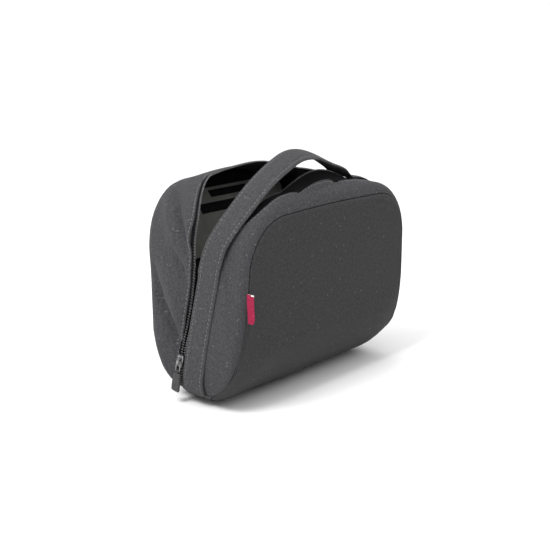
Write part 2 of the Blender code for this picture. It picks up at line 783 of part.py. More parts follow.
def main():
    for old in list(bpy.data.objects):
        bpy.data.objects.remove(old, do_unlink=True)
    parts = bpy.data.collections.new("handlebar_bag")
    cutters = bpy.data.collections.new("cutters")
    for collection in (parts, cutters):
        bpy.context.scene.collection.children.link(collection)

    front_cloth = material("front cloth", (0.050, 0.050, 0.053), 0.85)
    side_cloth = material("side cloth", (0.085, 0.085, 0.088), 0.90)
    webbing = material("strap cloth", (0.095, 0.095, 0.098), 0.90)
    tape = material("zip tape", (0.015, 0.015, 0.016), 0.85)
    coil = material("zip coil", (0.040, 0.040, 0.042), 0.50)
    metal = material("slider metal", (0.350, 0.350, 0.360), 0.35, 1.0)
    rubber = material("tab rubber", (0.075, 0.075, 0.078), 0.60)
    red = material("label cloth", (0.400, 0.010, 0.060), 0.70)
    grey = material("board plastic", (0.300, 0.310, 0.290), 0.60)
    black = material("plate plastic", (0.020, 0.020, 0.021), 0.50)

    make_front_panel(parts, front_cloth)
    make_back_panel(parts, side_cloth)
    make_gussets(parts, side_cloth)
    make_bottom_panel(parts, side_cloth)
    make_zip_edge(parts, "front", front_point, tape, coil)
    make_zip_edge(parts, "back", back_point, tape, coil)
    make_strap(parts, webbing)
    make_slider(parts, cutters, metal)
    make_pull(parts, cutters, metal, rubber)
    make_label(parts, red)
    make_board(parts, grey)
    make_mount_plate(parts, black)


main()
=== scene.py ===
"""The looks of a soft handlebar bag: cloth shells, zip, strap, stitches and fittings over the frame's solids.

Lengths are in metres. The bag stands on z = 0, its front faces -Y and its zip slider is on the -X side.
A place on a half of the bag is given by two numbers. The girth runs round the bag: 0 is the middle of the
bottom, 1 the middle of the top, reached up the left side, and 2 the bottom again, down the right side.
The depth runs from the face to the zip: 0 is the face's centre, 1 the face's edge, 2 the end of the
rounding behind that edge, and 3 the zip.
"""

import math
from collections import namedtuple

import bpy
import numpy as np
from mathutils import Matrix, Vector, noise


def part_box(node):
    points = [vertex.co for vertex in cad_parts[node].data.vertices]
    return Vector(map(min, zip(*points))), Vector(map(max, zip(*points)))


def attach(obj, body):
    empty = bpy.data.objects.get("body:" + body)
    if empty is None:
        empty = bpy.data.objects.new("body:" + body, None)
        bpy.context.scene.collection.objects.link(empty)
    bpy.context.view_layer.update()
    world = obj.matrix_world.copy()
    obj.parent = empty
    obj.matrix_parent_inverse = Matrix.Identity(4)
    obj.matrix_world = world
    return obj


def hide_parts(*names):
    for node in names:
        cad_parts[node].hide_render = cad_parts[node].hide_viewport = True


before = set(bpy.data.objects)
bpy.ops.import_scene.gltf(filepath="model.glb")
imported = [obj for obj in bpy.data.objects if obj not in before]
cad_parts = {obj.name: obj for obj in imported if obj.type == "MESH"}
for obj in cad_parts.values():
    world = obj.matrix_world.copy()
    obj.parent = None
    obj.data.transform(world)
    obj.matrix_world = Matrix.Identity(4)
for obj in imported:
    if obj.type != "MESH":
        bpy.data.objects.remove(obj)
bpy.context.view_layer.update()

# Overall sizes of the bag, as in the frame
HALF_WIDTH = 0.135
HEIGHT = 0.217
FRONT_DEPTH = 0.084
BACK_DEPTH = 0.021
ZIP_DEPTH = 0.002
FRONT_LEAN = -0.064
BACK_LEAN = 0.200
ZIP_LEAN = -0.190
OPENING = 0.084

# Walls, seams and the zip
WALL = 0.0020
GAP = 0.0003
FRONT_ROUNDING = 0.067
BACK_ROUNDING = 0.013
TAPE_WIDTH = 0.0085
TAPE_THICKNESS = 0.0008
TAPE_SINK = 0.0006
COIL_RADIUS = 0.0013
ZIP_WIRE = 0.00052
TOOTH_PITCH = 0.0029

# Girth places of the bottom panel's end seams and of the slider
GUSSET_END = 0.300
SLIDER_GIRTH = 0.392

# Depth places of the back panel's seam and of the lines along which the rows of grids are spaced
REAR_SEAM = 1.40
GUSSET_MIDDLE = 2.5
PANEL_MIDDLE = 1.5
BINDING_MIDDLE = 1.6

# Strap
STRAP_WIDTH = 0.029
STRAP_THICKNESS = 0.0020
STRAP_SETBACK = 0.0047
STRAP_LIFT = 0.0005
STRAP_LEFT_LIFT = 0.600
STRAP_RIGHT_LIFT = 0.850
STRAP_STITCH_INSET = 0.0042
STRAP_EDGE_SINK = 0.0007
STRAP_EDGE_WIDTH = 0.0011

# Slider, link and tab
SLIDER_WIDTH = 0.0080
SLIDER_LENGTH = 0.0130
SLIDER_THICKNESS = 0.0027
BRIDGE_WIDTH = 0.0028
BRIDGE_LENGTH = 0.0078
BRIDGE_WALL = 0.0009
BRIDGE_ROOT = 0.0008
WIRE_RADIUS = 0.0007
LINK_CLEARANCE = 0.0005
LINK_LENGTH = 0.0110
WIRE_OFFSET = GAP + SLIDER_THICKNESS + LINK_CLEARANCE + WIRE_RADIUS
TAB_WIDTH = 0.0105
TAB_LENGTH = 0.0210
TAB_THICKNESS = 0.0030
TAB_ROWS = 26
GRIP_START = 0.30
GRIP_LENGTH = 0.56
GRIP_RIBS = 6
EYE_SIDES = 24
EYE_COLUMNS = (-1.0, -0.85, 0.85, 1.0)

# Rings along the slider: their places, widths and thicknesses, as shares of its own
SLIDER_RINGS = (
    (-0.50, 0.62, 0.55), (-0.47, 0.72, 0.85), (-0.30, 0.78, 1.0), (-0.05, 0.86, 1.0),
    (0.20, 1.00, 1.0), (0.38, 1.00, 1.0), (0.47, 0.86, 0.85), (0.50, 0.74, 0.55),
)

# Label: its rows as shares of its height, and the first of them on its white fold
LABEL_REACH = 0.0080
LABEL_THICKNESS = 0.0012
LABEL_ROOT = -0.0012
RIBBON = 0.00035
LABEL_ROWS = (0.0, 0.02, 0.1, 0.25, 0.4, 0.55, 0.7, 0.85, 0.94, 0.955, 0.98, 1.0)
LABEL_WHITE_ROW = 9

# Plate on the back, with the places and sizes of its rings as shares
PLATE_WIDTH = 0.074
PLATE_HEIGHT = 0.060
PLATE_BASE = 0.105
PLATE_THICKNESS = 0.0060
PLATE_RINGS = (
    (0.02, 0.97), (0.04, 0.995), (0.2, 1.0), (0.8, 1.0), (0.96, 0.99),
    (0.99, 0.965), (0.99, 0.90), (0.93, 0.88), (0.93, 0.5),
)

# Cloth detail
BINDING = 0.0006
BINDING_REACH = 0.0045
BINDING_DROP = 0.0003
SEAM_SINK = 0.0011
SEAM_WIDTH = 0.0016
PUCKER_LIFT = 0.00022
PUCKER_PITCH = 0.0075
PUCKER_REACH = 0.0060
WAVE_LIFT = 0.0019
WAVE_LENGTH = 0.040
PANEL_WAVE_LIFT = 0.0010
PANEL_WAVE_LENGTH = 0.070
TAPE_UNDERLAP = 0.0022
TAPE_DROP = 0.0009
ROW_STEP = 0.0028
EDGE_LOOP = 0.0007

# Depth places across a face panel, and the one whose direction from the centre guides the weave
PANEL_DEPTHS = [0.12, 0.2, 0.3, 0.4, 0.5, 0.6, 0.7, 0.79, 0.87, 0.94]
PANEL_GUIDE = 7

# Stitches, with the place, size and rise of each ring of a thread as shares
STITCH_LENGTH = 0.0031
STITCH_PITCH = 0.0043
STITCH_RADIUS = 0.00042
STITCH_SIDES = 6
STITCH_RINGS = ((0.0, 0.30, -0.9), (0.14, 0.85, 0.1), (0.5, 1.0, 0.55), (0.86, 0.85, 0.1), (1.0, 0.30, -0.9))
GROOVE_WIDTH = 0.0013
GROOVE_SINK = 0.00055
ZIP_STITCH_INSET = 0.0024

# Floor, surround and lights
FLOOR_REACH = 300.0
FLOOR_DROP = 0.0002
FLOOR_TONE = 0.93
Light = namedtuple("Light", "name place power size")
LIGHTS = (
    Light("key", (-1.3, -0.1, 1.7), 30.0, 0.7),
    Light("fill", (0.6, -1.9, 1.9), 5.0, 1.2),
)
LIGHT_TARGET = (0.0, 0.0, 0.12)

# Camera: its angles in degrees round the bag and above it
CAMERA_AZIMUTH = -49.01
CAMERA_ELEVATION = 14.6246
CAMERA_TARGET = Vector((-0.01355, -0.025, 0.11443))
CAMERA_DISTANCE = 1.15963
CAMERA_LENS = 71.362

# Outlines of the bag's sections: widths and radii as shares of HALF_WIDTH, heights as shares of HEIGHT
Section = namedtuple("Section", "half_width base height low_radius top_radius crown belly")
SECTIONS = {
    "front_face": Section(0.905, 0.320, 0.868, 0.250, 0.300, 0.000, 0.012),
    "front_gusset": Section(0.995, 0.000, 0.970, 0.240, 0.500, 0.015, 0.012),
    "front_rim": Section(0.995, 0.000, 0.990, 0.240, 0.600, 0.075, 0.012),
    "back_face": Section(0.945, 0.040, 0.960, 0.260, 0.500, 0.018, 0.040),
    "back_gusset": Section(1.000, 0.000, 1.000, 0.250, 0.540, 0.020, 0.040),
    "back_rim": Section(0.995, 0.000, 1.045, 0.240, 0.480, 0.022, 0.012),
}

# Girth places where an outline passes from one stretch to the next
STRETCHES = (0.0, 0.21, 0.36, 0.59, 0.86, 1.0)

# How far the two edges stand from the closed zip's line, as shares of OPENING
Opening = namedtuple("Opening", "girth front back")
OPENINGS = (
    Opening(0.000, 0.000, 0.000),
    Opening(0.400, 0.000, 0.000),
    Opening(0.480, 0.045, -0.030),
    Opening(0.540, 0.070, -0.010),
    Opening(0.600, 0.100, 0.050),
    Opening(0.670, 0.165, 0.130),
    Opening(0.715, 0.250, 0.230),
    Opening(0.755, 0.310, 0.340),
    Opening(0.815, 0.335, 0.510),
    Opening(0.865, 0.320, 0.620),
    Opening(1.000, 0.300, 0.690),
)

# The front half's rounding, as shares of FRONT_ROUNDING, and the depth place of the front panel's seam
FrontEdge = namedtuple("FrontEdge", "girth rounding seam")
FRONT_EDGES = (
    FrontEdge(0.000, 1.00, 2.00),
    FrontEdge(0.210, 1.00, 2.00),
    FrontEdge(0.290, 0.76, 2.00),
    FrontEdge(0.325, 0.58, 1.86),
    FrontEdge(0.360, 0.40, 1.58),
    FrontEdge(0.430, 0.23, 1.37),
    FrontEdge(0.500, 0.18, 1.34),
    FrontEdge(0.600, 0.16, 1.34),
    FrontEdge(1.000, 0.15, 1.34),
)

# How far the cloth leaves the zip's tape bare on the two halves, as shares of the tape's width
Bare = namedtuple("Bare", "girth front back")
BARE_TAPE = (
    Bare(0.000, 0.45, 0.45),
    Bare(0.360, 0.45, 0.45),
    Bare(0.400, 0.20, 0.20),
    Bare(0.430, 0.06, 0.06),
    Bare(0.470, 0.10, 0.10),
    Bare(0.540, 0.35, 0.55),
    Bare(0.620, 0.80, 0.60),
    Bare(0.700, 1.70, 0.60),
    Bare(0.800, 2.20, 0.60),
    Bare(1.000, 2.30, 0.70),
)

# The strap's free stretch: places as shares of HALF_WIDTH and HEIGHT, the rest as shares of STRAP_WIDTH
StrapPlace = namedtuple("StrapPlace", "across up crown tilt forward")
STRAP_PLACES = (
    StrapPlace(-0.967, 0.775, 0.00, 0.01, 0.08),
    StrapPlace(-0.880, 0.872, 0.01, 0.04, 0.18),
    StrapPlace(-0.748, 0.956, 0.03, 0.06, 0.20),
    StrapPlace(-0.600, 1.031, 0.04, 0.06, 0.15),
    StrapPlace(-0.415, 1.094, 0.06, 0.08, 0.08),
    StrapPlace(-0.235, 1.135, 0.06, 0.10, 0.03),
    StrapPlace(-0.050, 1.130, 0.06, 0.12, 0.00),
    StrapPlace(0.140, 1.084, 0.05, 0.07, 0.00),
    StrapPlace(0.305, 1.042, 0.02, 0.00, 0.00),
)
STRAP_STEPS = 10
STRAP_COLUMNS = 14

# Creases and swellings of the cloth: lines through places of girth and depth
Fold = namedtuple("Fold", "lift width places")
BACK_FOLDS = (
    Fold(-0.0060, 0.0036, ((0.775, 2.25), (0.713, 2.48), (0.643, 2.70), (0.585, 2.86))),
    Fold(0.0050, 0.0090, ((0.790, 2.05), (0.730, 2.22), (0.668, 2.42), (0.605, 2.60))),
    Fold(0.0030, 0.0070, ((0.705, 2.68), (0.640, 2.84), (0.590, 2.95))),
    Fold(-0.0040, 0.0034, ((0.600, 2.48), (0.569, 2.65), (0.530, 2.83))),
    Fold(-0.0080, 0.0050, ((0.575, 1.90), (0.504, 2.14), (0.472, 2.35), (0.436, 2.62), (0.405, 2.88))),
    Fold(0.0058, 0.0120, ((0.590, 2.20), (0.535, 2.42), (0.495, 2.62), (0.450, 2.86))),
    Fold(0.0030, 0.0120, ((0.470, 2.00), (0.440, 2.18), (0.410, 2.40))),
    Fold(-0.0030, 0.0040, ((0.860, 2.40), (0.830, 2.65), (0.790, 2.90))),
    Fold(0.0026, 0.0060, ((0.840, 2.25), (0.800, 2.50), (0.770, 2.75))),
)
FRONT_FOLDS = (
    Fold(0.0034, 0.0075, ((0.790, 2.35), (0.850, 2.30), (0.905, 2.42))),
    Fold(-0.0036, 0.0038, ((0.760, 2.62), (0.840, 2.62), (0.890, 2.74))),
    Fold(0.0028, 0.0070, ((0.930, 2.25), (0.975, 2.40), (1.030, 2.45))),
    Fold(-0.0034, 0.0040, ((0.890, 2.12), (0.935, 2.50), (0.980, 2.80))),
    Fold(-0.0030, 0.0040, ((1.020, 2.12), (1.060, 2.50), (1.100, 2.80))),
    Fold(0.0024, 0.0080, ((1.080, 2.20), (1.130, 2.50), (1.180, 2.60))),
    Fold(-0.0016, 0.0060, ((0.560, 2.10), (0.600, 2.32), (0.640, 2.42))),
    Fold(0.0016, 0.0090, ((0.440, 2.05), (0.500, 2.22), (0.560, 2.30))),
)

# How far the back half sinks at its top right corner and draws in at its low corners
BACK_SAG = 0.011
BACK_DRAW = 0.007


def section(name):
    """The named outline in metres."""
    row = SECTIONS[name]
    return Section(
        row.half_width * HALF_WIDTH,
        row.base * HEIGHT,
        row.height * HEIGHT,
        row.low_radius * HALF_WIDTH,
        row.top_radius * HALF_WIDTH,
        row.crown * HEIGHT,
        row.belly * HALF_WIDTH,
    )


RINGS = {name: section(name) for name in SECTIONS}
CENTRE = np.array((0.0, -FRONT_DEPTH / 3, HEIGHT / 2))


def blend(first, second, share):
    """An outline between two others."""
    return Section(*(a + (b - a) * share for a, b in zip(first, second)))


def half_girth(girth):
    """The girth place on the left side that matches a place anywhere round the bag."""
    girth = abs(girth)
    return 2.0 - girth if girth > 1.0 else girth


def outline_point(ring, girth):
    """The point (x, z) of an outline at a girth place."""
    side = 1.0 if girth < 0.0 or girth > 1.0 else -1.0
    girth = half_girth(girth)
    stretch = 0
    while stretch < len(STRETCHES) - 2 and girth > STRETCHES[stretch + 1]:
        stretch += 1
    start, end = STRETCHES[stretch], STRETCHES[stretch + 1]
    share = (girth - start) / (end - start)
    angle = share * math.pi / 2
    low, top = ring.low_radius, ring.top_radius
    if stretch == 0:
        x, z = (ring.half_width - low) * share, ring.base
    elif stretch == 1:
        x = ring.half_width - low + low * math.sin(angle)
        z = ring.base + low - low * math.cos(angle)
    elif stretch == 2:
        x = ring.half_width
        z = ring.base + low + (ring.height - top - ring.base - low) * share
    elif stretch == 3:
        x = ring.half_width - top + top * math.cos(angle)
        z = ring.height - top + top * math.sin(angle)
    else:
        x = (ring.half_width - top) * (1 - share)
        z = ring.height + ring.crown * math.sin(angle)
    if stretch in (1, 2, 3):
        x += ring.belly * math.sin(2 * math.pi * (z - ring.base) / (ring.height - ring.base))
    return side * x, z


def smooth_value(first, last, rise_in, rise_out, share):
    """A value between two others, on a cubic curve with the given rises at its ends."""
    square = share ** 2
    cube = share ** 3
    return (
        first * (2 * cube - 3 * square + 1)
        + rise_in * (cube - 2 * square + share)
        + last * (3 * square - 2 * cube)
        + rise_out * (cube - square)
    )


def read_table(rows, column, girth):
    """A column's value at a girth place, on a smooth curve through the table's rows."""
    place = half_girth(girth)
    index = 0
    while index < len(rows) - 2 and place > rows[index + 1].girth:
        index += 1
    before, after = rows[max(index - 1, 0)], rows[min(index + 2, len(rows) - 1)]
    start, end = rows[index], rows[index + 1]
    length = end.girth - start.girth
    first, last = getattr(start, column), getattr(end, column)
    rise_in = (last - getattr(before, column)) / (end.girth - before.girth) * length
    rise_out = (getattr(after, column) - first) / (after.girth - start.girth) * length
    return smooth_value(first, last, rise_in, rise_out, (place - start.girth) / length)


def zip_line(z):
    """The closed zip's distance behind the origin at a height."""
    return ZIP_DEPTH + ZIP_LEAN * z


def rounded(share):
    """Sideways and rearward shares along a rounding, whose form lies between an arc and a bevel."""
    angle = share * math.pi / 2
    power = 2.0 / 1.7
    return math.sin(angle) ** power, 1.0 - math.cos(angle) ** power


def face_point(face, girth, depth, place, lean):
    """A point on a half's flat face."""
    x, z = outline_point(face, girth)
    middle = (face.base + face.height) / 2
    x, z = x * depth, middle + (z - middle) * depth
    return Vector((x, place + lean * z, z))


def front_point(girth, depth):
    """A point on the front half's outer surface."""
    face, full, rim = RINGS["front_face"], RINGS["front_gusset"], RINGS["front_rim"]
    if depth <= 1.0:
        return face_point(face, girth, depth, -FRONT_DEPTH, FRONT_LEAN)
    _, face_z = outline_point(face, girth)
    face_y = -FRONT_DEPTH + FRONT_LEAN * face_z
    round_end = face_y + FRONT_ROUNDING * read_table(FRONT_EDGES, "rounding", girth)
    if depth <= 2.0:
        sideways, rearward = rounded(depth - 1.0)
        x, z = outline_point(blend(face, full, sideways), girth)
        return Vector((x, face_y + (round_end - face_y) * rearward, z))
    x, z = outline_point(blend(full, rim, depth - 2.0), girth)
    _, rim_z = outline_point(rim, girth)
    rim_y = zip_line(rim_z) - GAP / 2 - OPENING * read_table(OPENINGS, "front", girth)
    return Vector((x, round_end + (rim_y - round_end) * (depth - 2.0), z))


def fade(value, start, end):
    """0 before the start and 1 past the end, smooth between them."""
    share = min(1.0, max(0.0, (value - start) / (end - start)))
    return share * share * (3.0 - 2.0 * share)


def back_point(girth, depth):
    """A point on the back half's outer surface, which sags at one top corner and draws in low down."""
    x, y, z = stiff_back_point(girth, depth)
    sag = BACK_SAG * fade(x, 0.00, 0.09) * fade(z, 0.14, 0.20)
    draw = BACK_DRAW * fade(-z, -0.060, -0.005) * fade(abs(x), 0.06, 0.12) * fade(-depth, -3.0, -2.4)
    return Vector((x - math.copysign(draw, x), y, z - sag))


def stiff_back_point(girth, depth):
    """A point on the back half's outer surface before it sags."""
    face, full, rim = RINGS["back_face"], RINGS["back_gusset"], RINGS["back_rim"]
    if depth <= 1.0:
        return face_point(face, girth, depth, BACK_DEPTH, BACK_LEAN)
    _, face_z = outline_point(face, girth)
    face_y = BACK_DEPTH + BACK_LEAN * face_z
    if depth <= 2.0:
        sideways, rearward = rounded(depth - 1.0)
        x, z = outline_point(blend(face, full, sideways), girth)
        return Vector((x, face_y - BACK_ROUNDING * rearward, z))
    x, z = outline_point(blend(full, rim, depth - 2.0), girth)
    round_end = face_y - BACK_ROUNDING
    _, rim_z = outline_point(rim, girth)
    rim_y = zip_line(rim_z) + GAP / 2 + OPENING * read_table(OPENINGS, "back", girth)
    return Vector((x, round_end + (rim_y - round_end) * (depth - 2.0), z))


def body_point(girth, depth):
    """A point on the whole bag: depths over 3 run on from the zip to the back face, which is 6."""
    if depth <= 3.0:
        return front_point(girth, depth)
    return back_point(girth, 6.0 - depth)


def move_depth(surface, girth, depth, distance):
    """The depth place that lies a distance further along the surface."""
    step = 0.01
    ends = surface(girth, depth - step), surface(girth, depth + step)
    return depth + distance * 2 * step / (ends[1] - ends[0]).length


def move_girth(surface, girth, depth, distance):
    """The girth place that lies a distance further round the surface."""
    step = 0.01
    ends = surface(girth - step, depth), surface(girth + step, depth)
    return girth + distance * 2 * step / (ends[1] - ends[0]).length


def seam_depth(girth):
    """Where the front panel's seam lies."""
    return read_table(FRONT_EDGES, "seam", girth)


def rear_seam_depth(girth):
    """Where the back panel's seam lies, the same all round."""
    return REAR_SEAM


def spaced(start, end, count):
    """Evenly spaced values from start to end, a number of steps apart."""
    return [start + (end - start) * step / count for step in range(count + 1)]


def even_girths(surface, depth, start, end, step):
    """Girth places about a step apart along the surface."""
    fine = np.linspace(start, end, 801)
    points = np.array([surface(girth, depth) for girth in fine])
    lengths = np.concatenate(([0.0], np.cumsum(np.linalg.norm(np.diff(points, axis=0), axis=1))))
    count = math.ceil(lengths[-1] / step)
    return list(np.interp(np.linspace(0.0, lengths[-1], count + 1), lengths, fine))


def looped(surface, girth, start, end, turns):
    """Depth places from start to end, through turning places with a number of steps to each.

    One more loop lies just inside each end, which keeps a cloth's edge tight.
    """
    first = move_depth(surface, girth, start, EDGE_LOOP)
    last = move_depth(surface, girth, end, -EDGE_LOOP)
    places = [start, first]
    for place, count in turns:
        place = last if place is None else place
        places += spaced(places[-1], place, count)[1:]
    return places + [end]


def value_at(values, lengths, place):
    """A place's value between rows of three values that lie at the given lengths."""
    return np.array([np.interp(place, lengths, values[:, axis]) for axis in range(3)])


class Cloth:
    """A grid of points over a surface, with its normals and the lengths along its rows and columns."""

    def __init__(self, points, is_loop=False):
        self.points = np.array(points, float)
        self.is_loop = is_loop
        if is_loop:
            around = np.roll(self.points, -1, axis=0) - np.roll(self.points, 1, axis=0)
        else:
            around = np.gradient(self.points, axis=0)
        along = np.gradient(self.points, axis=1)
        normals = np.cross(around, along)
        size = np.linalg.norm(normals, axis=2, keepdims=True)
        normals = normals / np.maximum(size, 1e-12)
        self.is_flipped = float((normals * (self.points - CENTRE)).sum()) < 0.0
        self.normals = -normals if self.is_flipped else normals
        self.along = self.run(1)
        self.around = self.run(0)

    def run(self, axis):
        """The length from the grid's start to each point, along an axis."""
        steps = np.linalg.norm(np.diff(self.points, axis=axis), axis=2)
        start = np.zeros_like(np.take(steps, [0], axis=axis))
        return np.concatenate((start, np.cumsum(steps, axis=axis)), axis=axis)

    def to_end(self):
        """The length from each point to its row's end."""
        return self.along[:, -1:] - self.along

    def lift(self, amount):
        """Move the points outward by an amount for each."""
        self.points = self.points + self.normals * np.asarray(amount)[..., None]

    def line(self, distance):
        """The points and normals along a line a distance inside the rows' ends, or starts if below 0."""
        points, normals = [], []
        for row, lengths in enumerate(self.along):
            place = lengths[-1] - distance if distance >= 0 else -distance
            points.append(value_at(self.points[row], lengths, place))
            normals.append(value_at(self.normals[row], lengths, place))
        return np.array(points), np.array(normals)


def bell(distance, width):
    """1 at no distance, falling smoothly to 0 over a few widths."""
    return np.exp(-(distance / width) ** 2)


def line_distance(points, line):
    """Each point's distance to a line of points, and how far along the line it lies, from 0 to 1."""
    best = np.full(points.shape[:2], 1e9)
    place = np.zeros(points.shape[:2])
    count = len(line) - 1
    for index in range(count):
        start, end = line[index], line[index + 1]
        step = end - start
        share = np.clip(((points - start) @ step) / (step @ step), 0.0, 1.0)
        distance = np.linalg.norm(points - start - share[..., None] * step, axis=2)
        nearer = distance < best
        best = np.where(nearer, distance, best)
        place = np.where(nearer, (index + share) / count, place)
    return best, place


def add_folds(cloth, surface, folds):
    """Raise and sink a cloth along its folds."""
    lift = np.zeros(cloth.points.shape[:2])
    for fold in folds:
        line = np.array([surface(girth, depth) for girth, depth in fold.places])
        distance, place = line_distance(cloth.points, line)
        lift += fold.lift * bell(distance, fold.width) * np.sin(np.pi * np.clip(place, 0.04, 0.96)) ** 0.6
    cloth.lift(lift)


def add_waves(cloth, lift, length, offset):
    """Give a cloth soft uneven waves, which fade out at its edges."""
    inside = 1.0 - bell(np.minimum(cloth.along, cloth.to_end()), length / 5)
    waves = [
        [noise.noise(Vector(point) / length + Vector((offset, 0.0, 0.0))) for point in row]
        for row in cloth.points
    ]
    cloth.lift(lift * np.array(waves) * inside)


def add_puckers(cloth, edge, offset):
    """Small ripples that run from a sewn edge into the cloth."""
    phase = 2 * np.pi * cloth.around / PUCKER_PITCH
    wander = np.array([noise.noise(Vector((row * 0.21, offset, 0.0))) for row in range(len(cloth.points))])
    size = 0.5 + np.abs(wander)
    ripple = np.sin(phase + 5.0 * wander[:, None]) * size[:, None]
    cloth.lift(PUCKER_LIFT * ripple * np.exp(-edge / PUCKER_REACH) * (1.0 - bell(edge, SEAM_WIDTH)))


def sink_seam(cloth, edge):
    """Turn a cloth's edge inward at its seam."""
    cloth.lift(-SEAM_SINK * bell(edge, SEAM_WIDTH))


def add_object(name, data):
    """Link a new object to the scene."""
    made = bpy.data.objects.new(name, data)
    bpy.context.scene.collection.objects.link(made)
    return made


def new_object(name, data, materials, body="bag", replaced=()):
    """Link a piece, give it its materials and say what it rides on and stands for."""
    piece = add_object(name, data)
    for material in materials:
        data.materials.append(material)
    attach(piece, body)
    if replaced:
        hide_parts(*replaced)
    return piece


def new_mesh(name, vertices, faces):
    """A smooth-shaded mesh."""
    mesh = bpy.data.meshes.new(name)
    mesh.from_pydata(vertices, [], faces)
    mesh.shade_smooth()
    return mesh


def grid_mesh(name, cloth, flat=None):
    """A mesh of a cloth's grid, with metric UV coordinates for its weave."""
    rows, columns = cloth.points.shape[:2]
    vertices = [tuple(point) for row in cloth.points for point in row]
    faces = []
    for row in range(rows if cloth.is_loop else rows - 1):
        after = (row + 1) % rows
        for column in range(columns - 1):
            near, far = row * columns + column, after * columns + column
            face = (near, far, far + 1, near + 1)
            faces.append(face[::-1] if cloth.is_flipped else face)
    if cloth.is_loop:
        for near in range(rows // 2):
            rung = [near, near + 1, rows - near - 1, (rows - near) % rows]
            face = tuple(row * columns for row in dict.fromkeys(rung))
            if len(face) > 2:
                faces.append(face if cloth.is_flipped else face[::-1])
    mesh = new_mesh(name, vertices, faces)
    if flat is None:
        middle = columns // 2
        around = np.repeat(cloth.around[:, middle:middle + 1], columns, axis=1)
        flat = np.stack((around, cloth.along), axis=2)
    places = np.asarray(flat).reshape(-1, 2)
    layer = mesh.uv_layers.new(name="weave")
    indices = np.zeros(len(mesh.loops), np.int32)
    mesh.loops.foreach_get("vertex_index", indices)
    layer.data.foreach_set("uv", places[indices].astype(np.float32).ravel())
    return mesh


def add_smoothing(piece):
    """Smooth a piece with one level of subdivision."""
    smooth = piece.modifiers.new("smooth", "SUBSURF")
    smooth.levels = 1
    smooth.render_levels = 1


def thicken(piece, thickness, has_lining_and_painted_shade):
    """Give an open sheet its thickness, inward, and smooth it."""
    solid = piece.modifiers.new("thickness", "SOLIDIFY")
    solid.thickness = thickness
    solid.offset = -1.0
    solid.use_quality_normals = True
    if has_lining_and_painted_shade:
        solid.material_offset = 1
    add_smoothing(piece)


def make_cloth(name, cloth, material, replaced, thickness=WALL, has_lining_and_painted_shade=True, flat=None):
    """A thick piece of cloth on the bag, with or without a near-black inner side that is partly a black
    lining and partly painted shade.
    """
    materials = (material, LINING_AND_PAINTED_SHADE) if has_lining_and_painted_shade else (material,)
    piece = new_object(name, grid_mesh(name, cloth, flat), materials, "bag", replaced)
    thicken(piece, thickness, has_lining_and_painted_shade)


def panel_cloth(surface, seam, girths):
    """A face panel's grid, from near its centre to its seam, and its flattened coordinates."""
    points = []
    for girth in girths:
        edge = move_depth(surface, girth, seam(girth), -GAP / 2)
        loop = move_depth(surface, girth, edge, -EDGE_LOOP)
        depths = PANEL_DEPTHS + spaced(1.0, edge, 9)[:-1] + [loop, edge]
        points.append([surface(girth, depth) for depth in depths])
    cloth = Cloth(points, is_loop=True)
    heading = cloth.points[:, PANEL_GUIDE] - cloth.points[:, PANEL_GUIDE].mean(axis=0)
    heading = heading[:, (0, 2)]
    reach = np.linalg.norm(heading, axis=1, keepdims=True)
    radius = cloth.along + reach[:, :1] * PANEL_DEPTHS[0]
    flat = (heading / reach)[:, None, :] * radius[..., None]
    return cloth, flat


def set_inputs(node, **values):
    """Set a node's sockets by name, with spaces written as underscores."""
    for name, value in values.items():
        node.inputs[name.replace("_", " ")].default_value = value


class Nodes:
    """Short ways to add nodes to a material or to the world."""

    def __init__(self, owner):
        owner.use_nodes = True
        self.owner = owner
        self.tree = owner.node_tree
        self.shader = self.tree.nodes.get("Principled BSDF")

    def add(self, kind, **values):
        node = self.tree.nodes.new(kind)
        set_inputs(node, **values)
        return node

    def link(self, output, target):
        self.tree.links.new(output, target)

    def where(self, kind):
        return self.add("ShaderNodeTexCoord").outputs[kind]

    def noise(self, where, **values):
        node = self.add("ShaderNodeTexNoise", **values)
        self.link(where, node.inputs["Vector"])
        return node.outputs[0]

    def bands(self, where, direction, pitch, **values):
        node = self.add("ShaderNodeTexWave", Scale=math.pi / (10 * pitch), **values)
        node.bands_direction = direction
        self.link(where, node.inputs["Vector"])
        return node.outputs["Fac"]

    def math(self, operation, first, second):
        node = self.tree.nodes.new("ShaderNodeMath")
        node.operation = operation
        for socket, value in zip(node.inputs, (first, second)):
            if isinstance(value, float):
                socket.default_value = value
            else:
                self.link(value, socket)
        return node.outputs[0]

    def mix(self, factor, first, second):
        node = self.tree.nodes.new("ShaderNodeMix")
        node.data_type = "RGBA"
        self.link(factor, node.inputs["Factor"])
        for name, value in (("A", first), ("B", second)):
            socket = [entry for entry in node.inputs if entry.name == name and entry.type == "RGBA"][0]
            if isinstance(value, tuple):
                socket.default_value = (*value, 1.0)
            else:
                self.link(value, socket)
        return [entry for entry in node.outputs if entry.type == "RGBA"][0]

    def ramp(self, value, low, high, start=0.0, end=1.0, form="LINEAR"):
        node = self.add("ShaderNodeMapRange", From_Min=low, From_Max=high, To_Min=start, To_Max=end)
        node.interpolation_type = form
        self.link(value, node.inputs["Value"])
        return node.outputs["Result"]

    def bump(self, height, distance, strength, under=None):
        node = self.add("ShaderNodeBump", Distance=distance, Strength=strength)
        self.link(height, node.inputs["Height"])
        if under is not None:
            self.link(under, node.inputs["Normal"])
        return node.outputs["Normal"]

    def finish(self, colour, normal, **values):
        self.link(colour, self.shader.inputs["Base Color"])
        self.link(normal, self.shader.inputs["Normal"])
        set_inputs(self.shader, **values)
        return self.owner


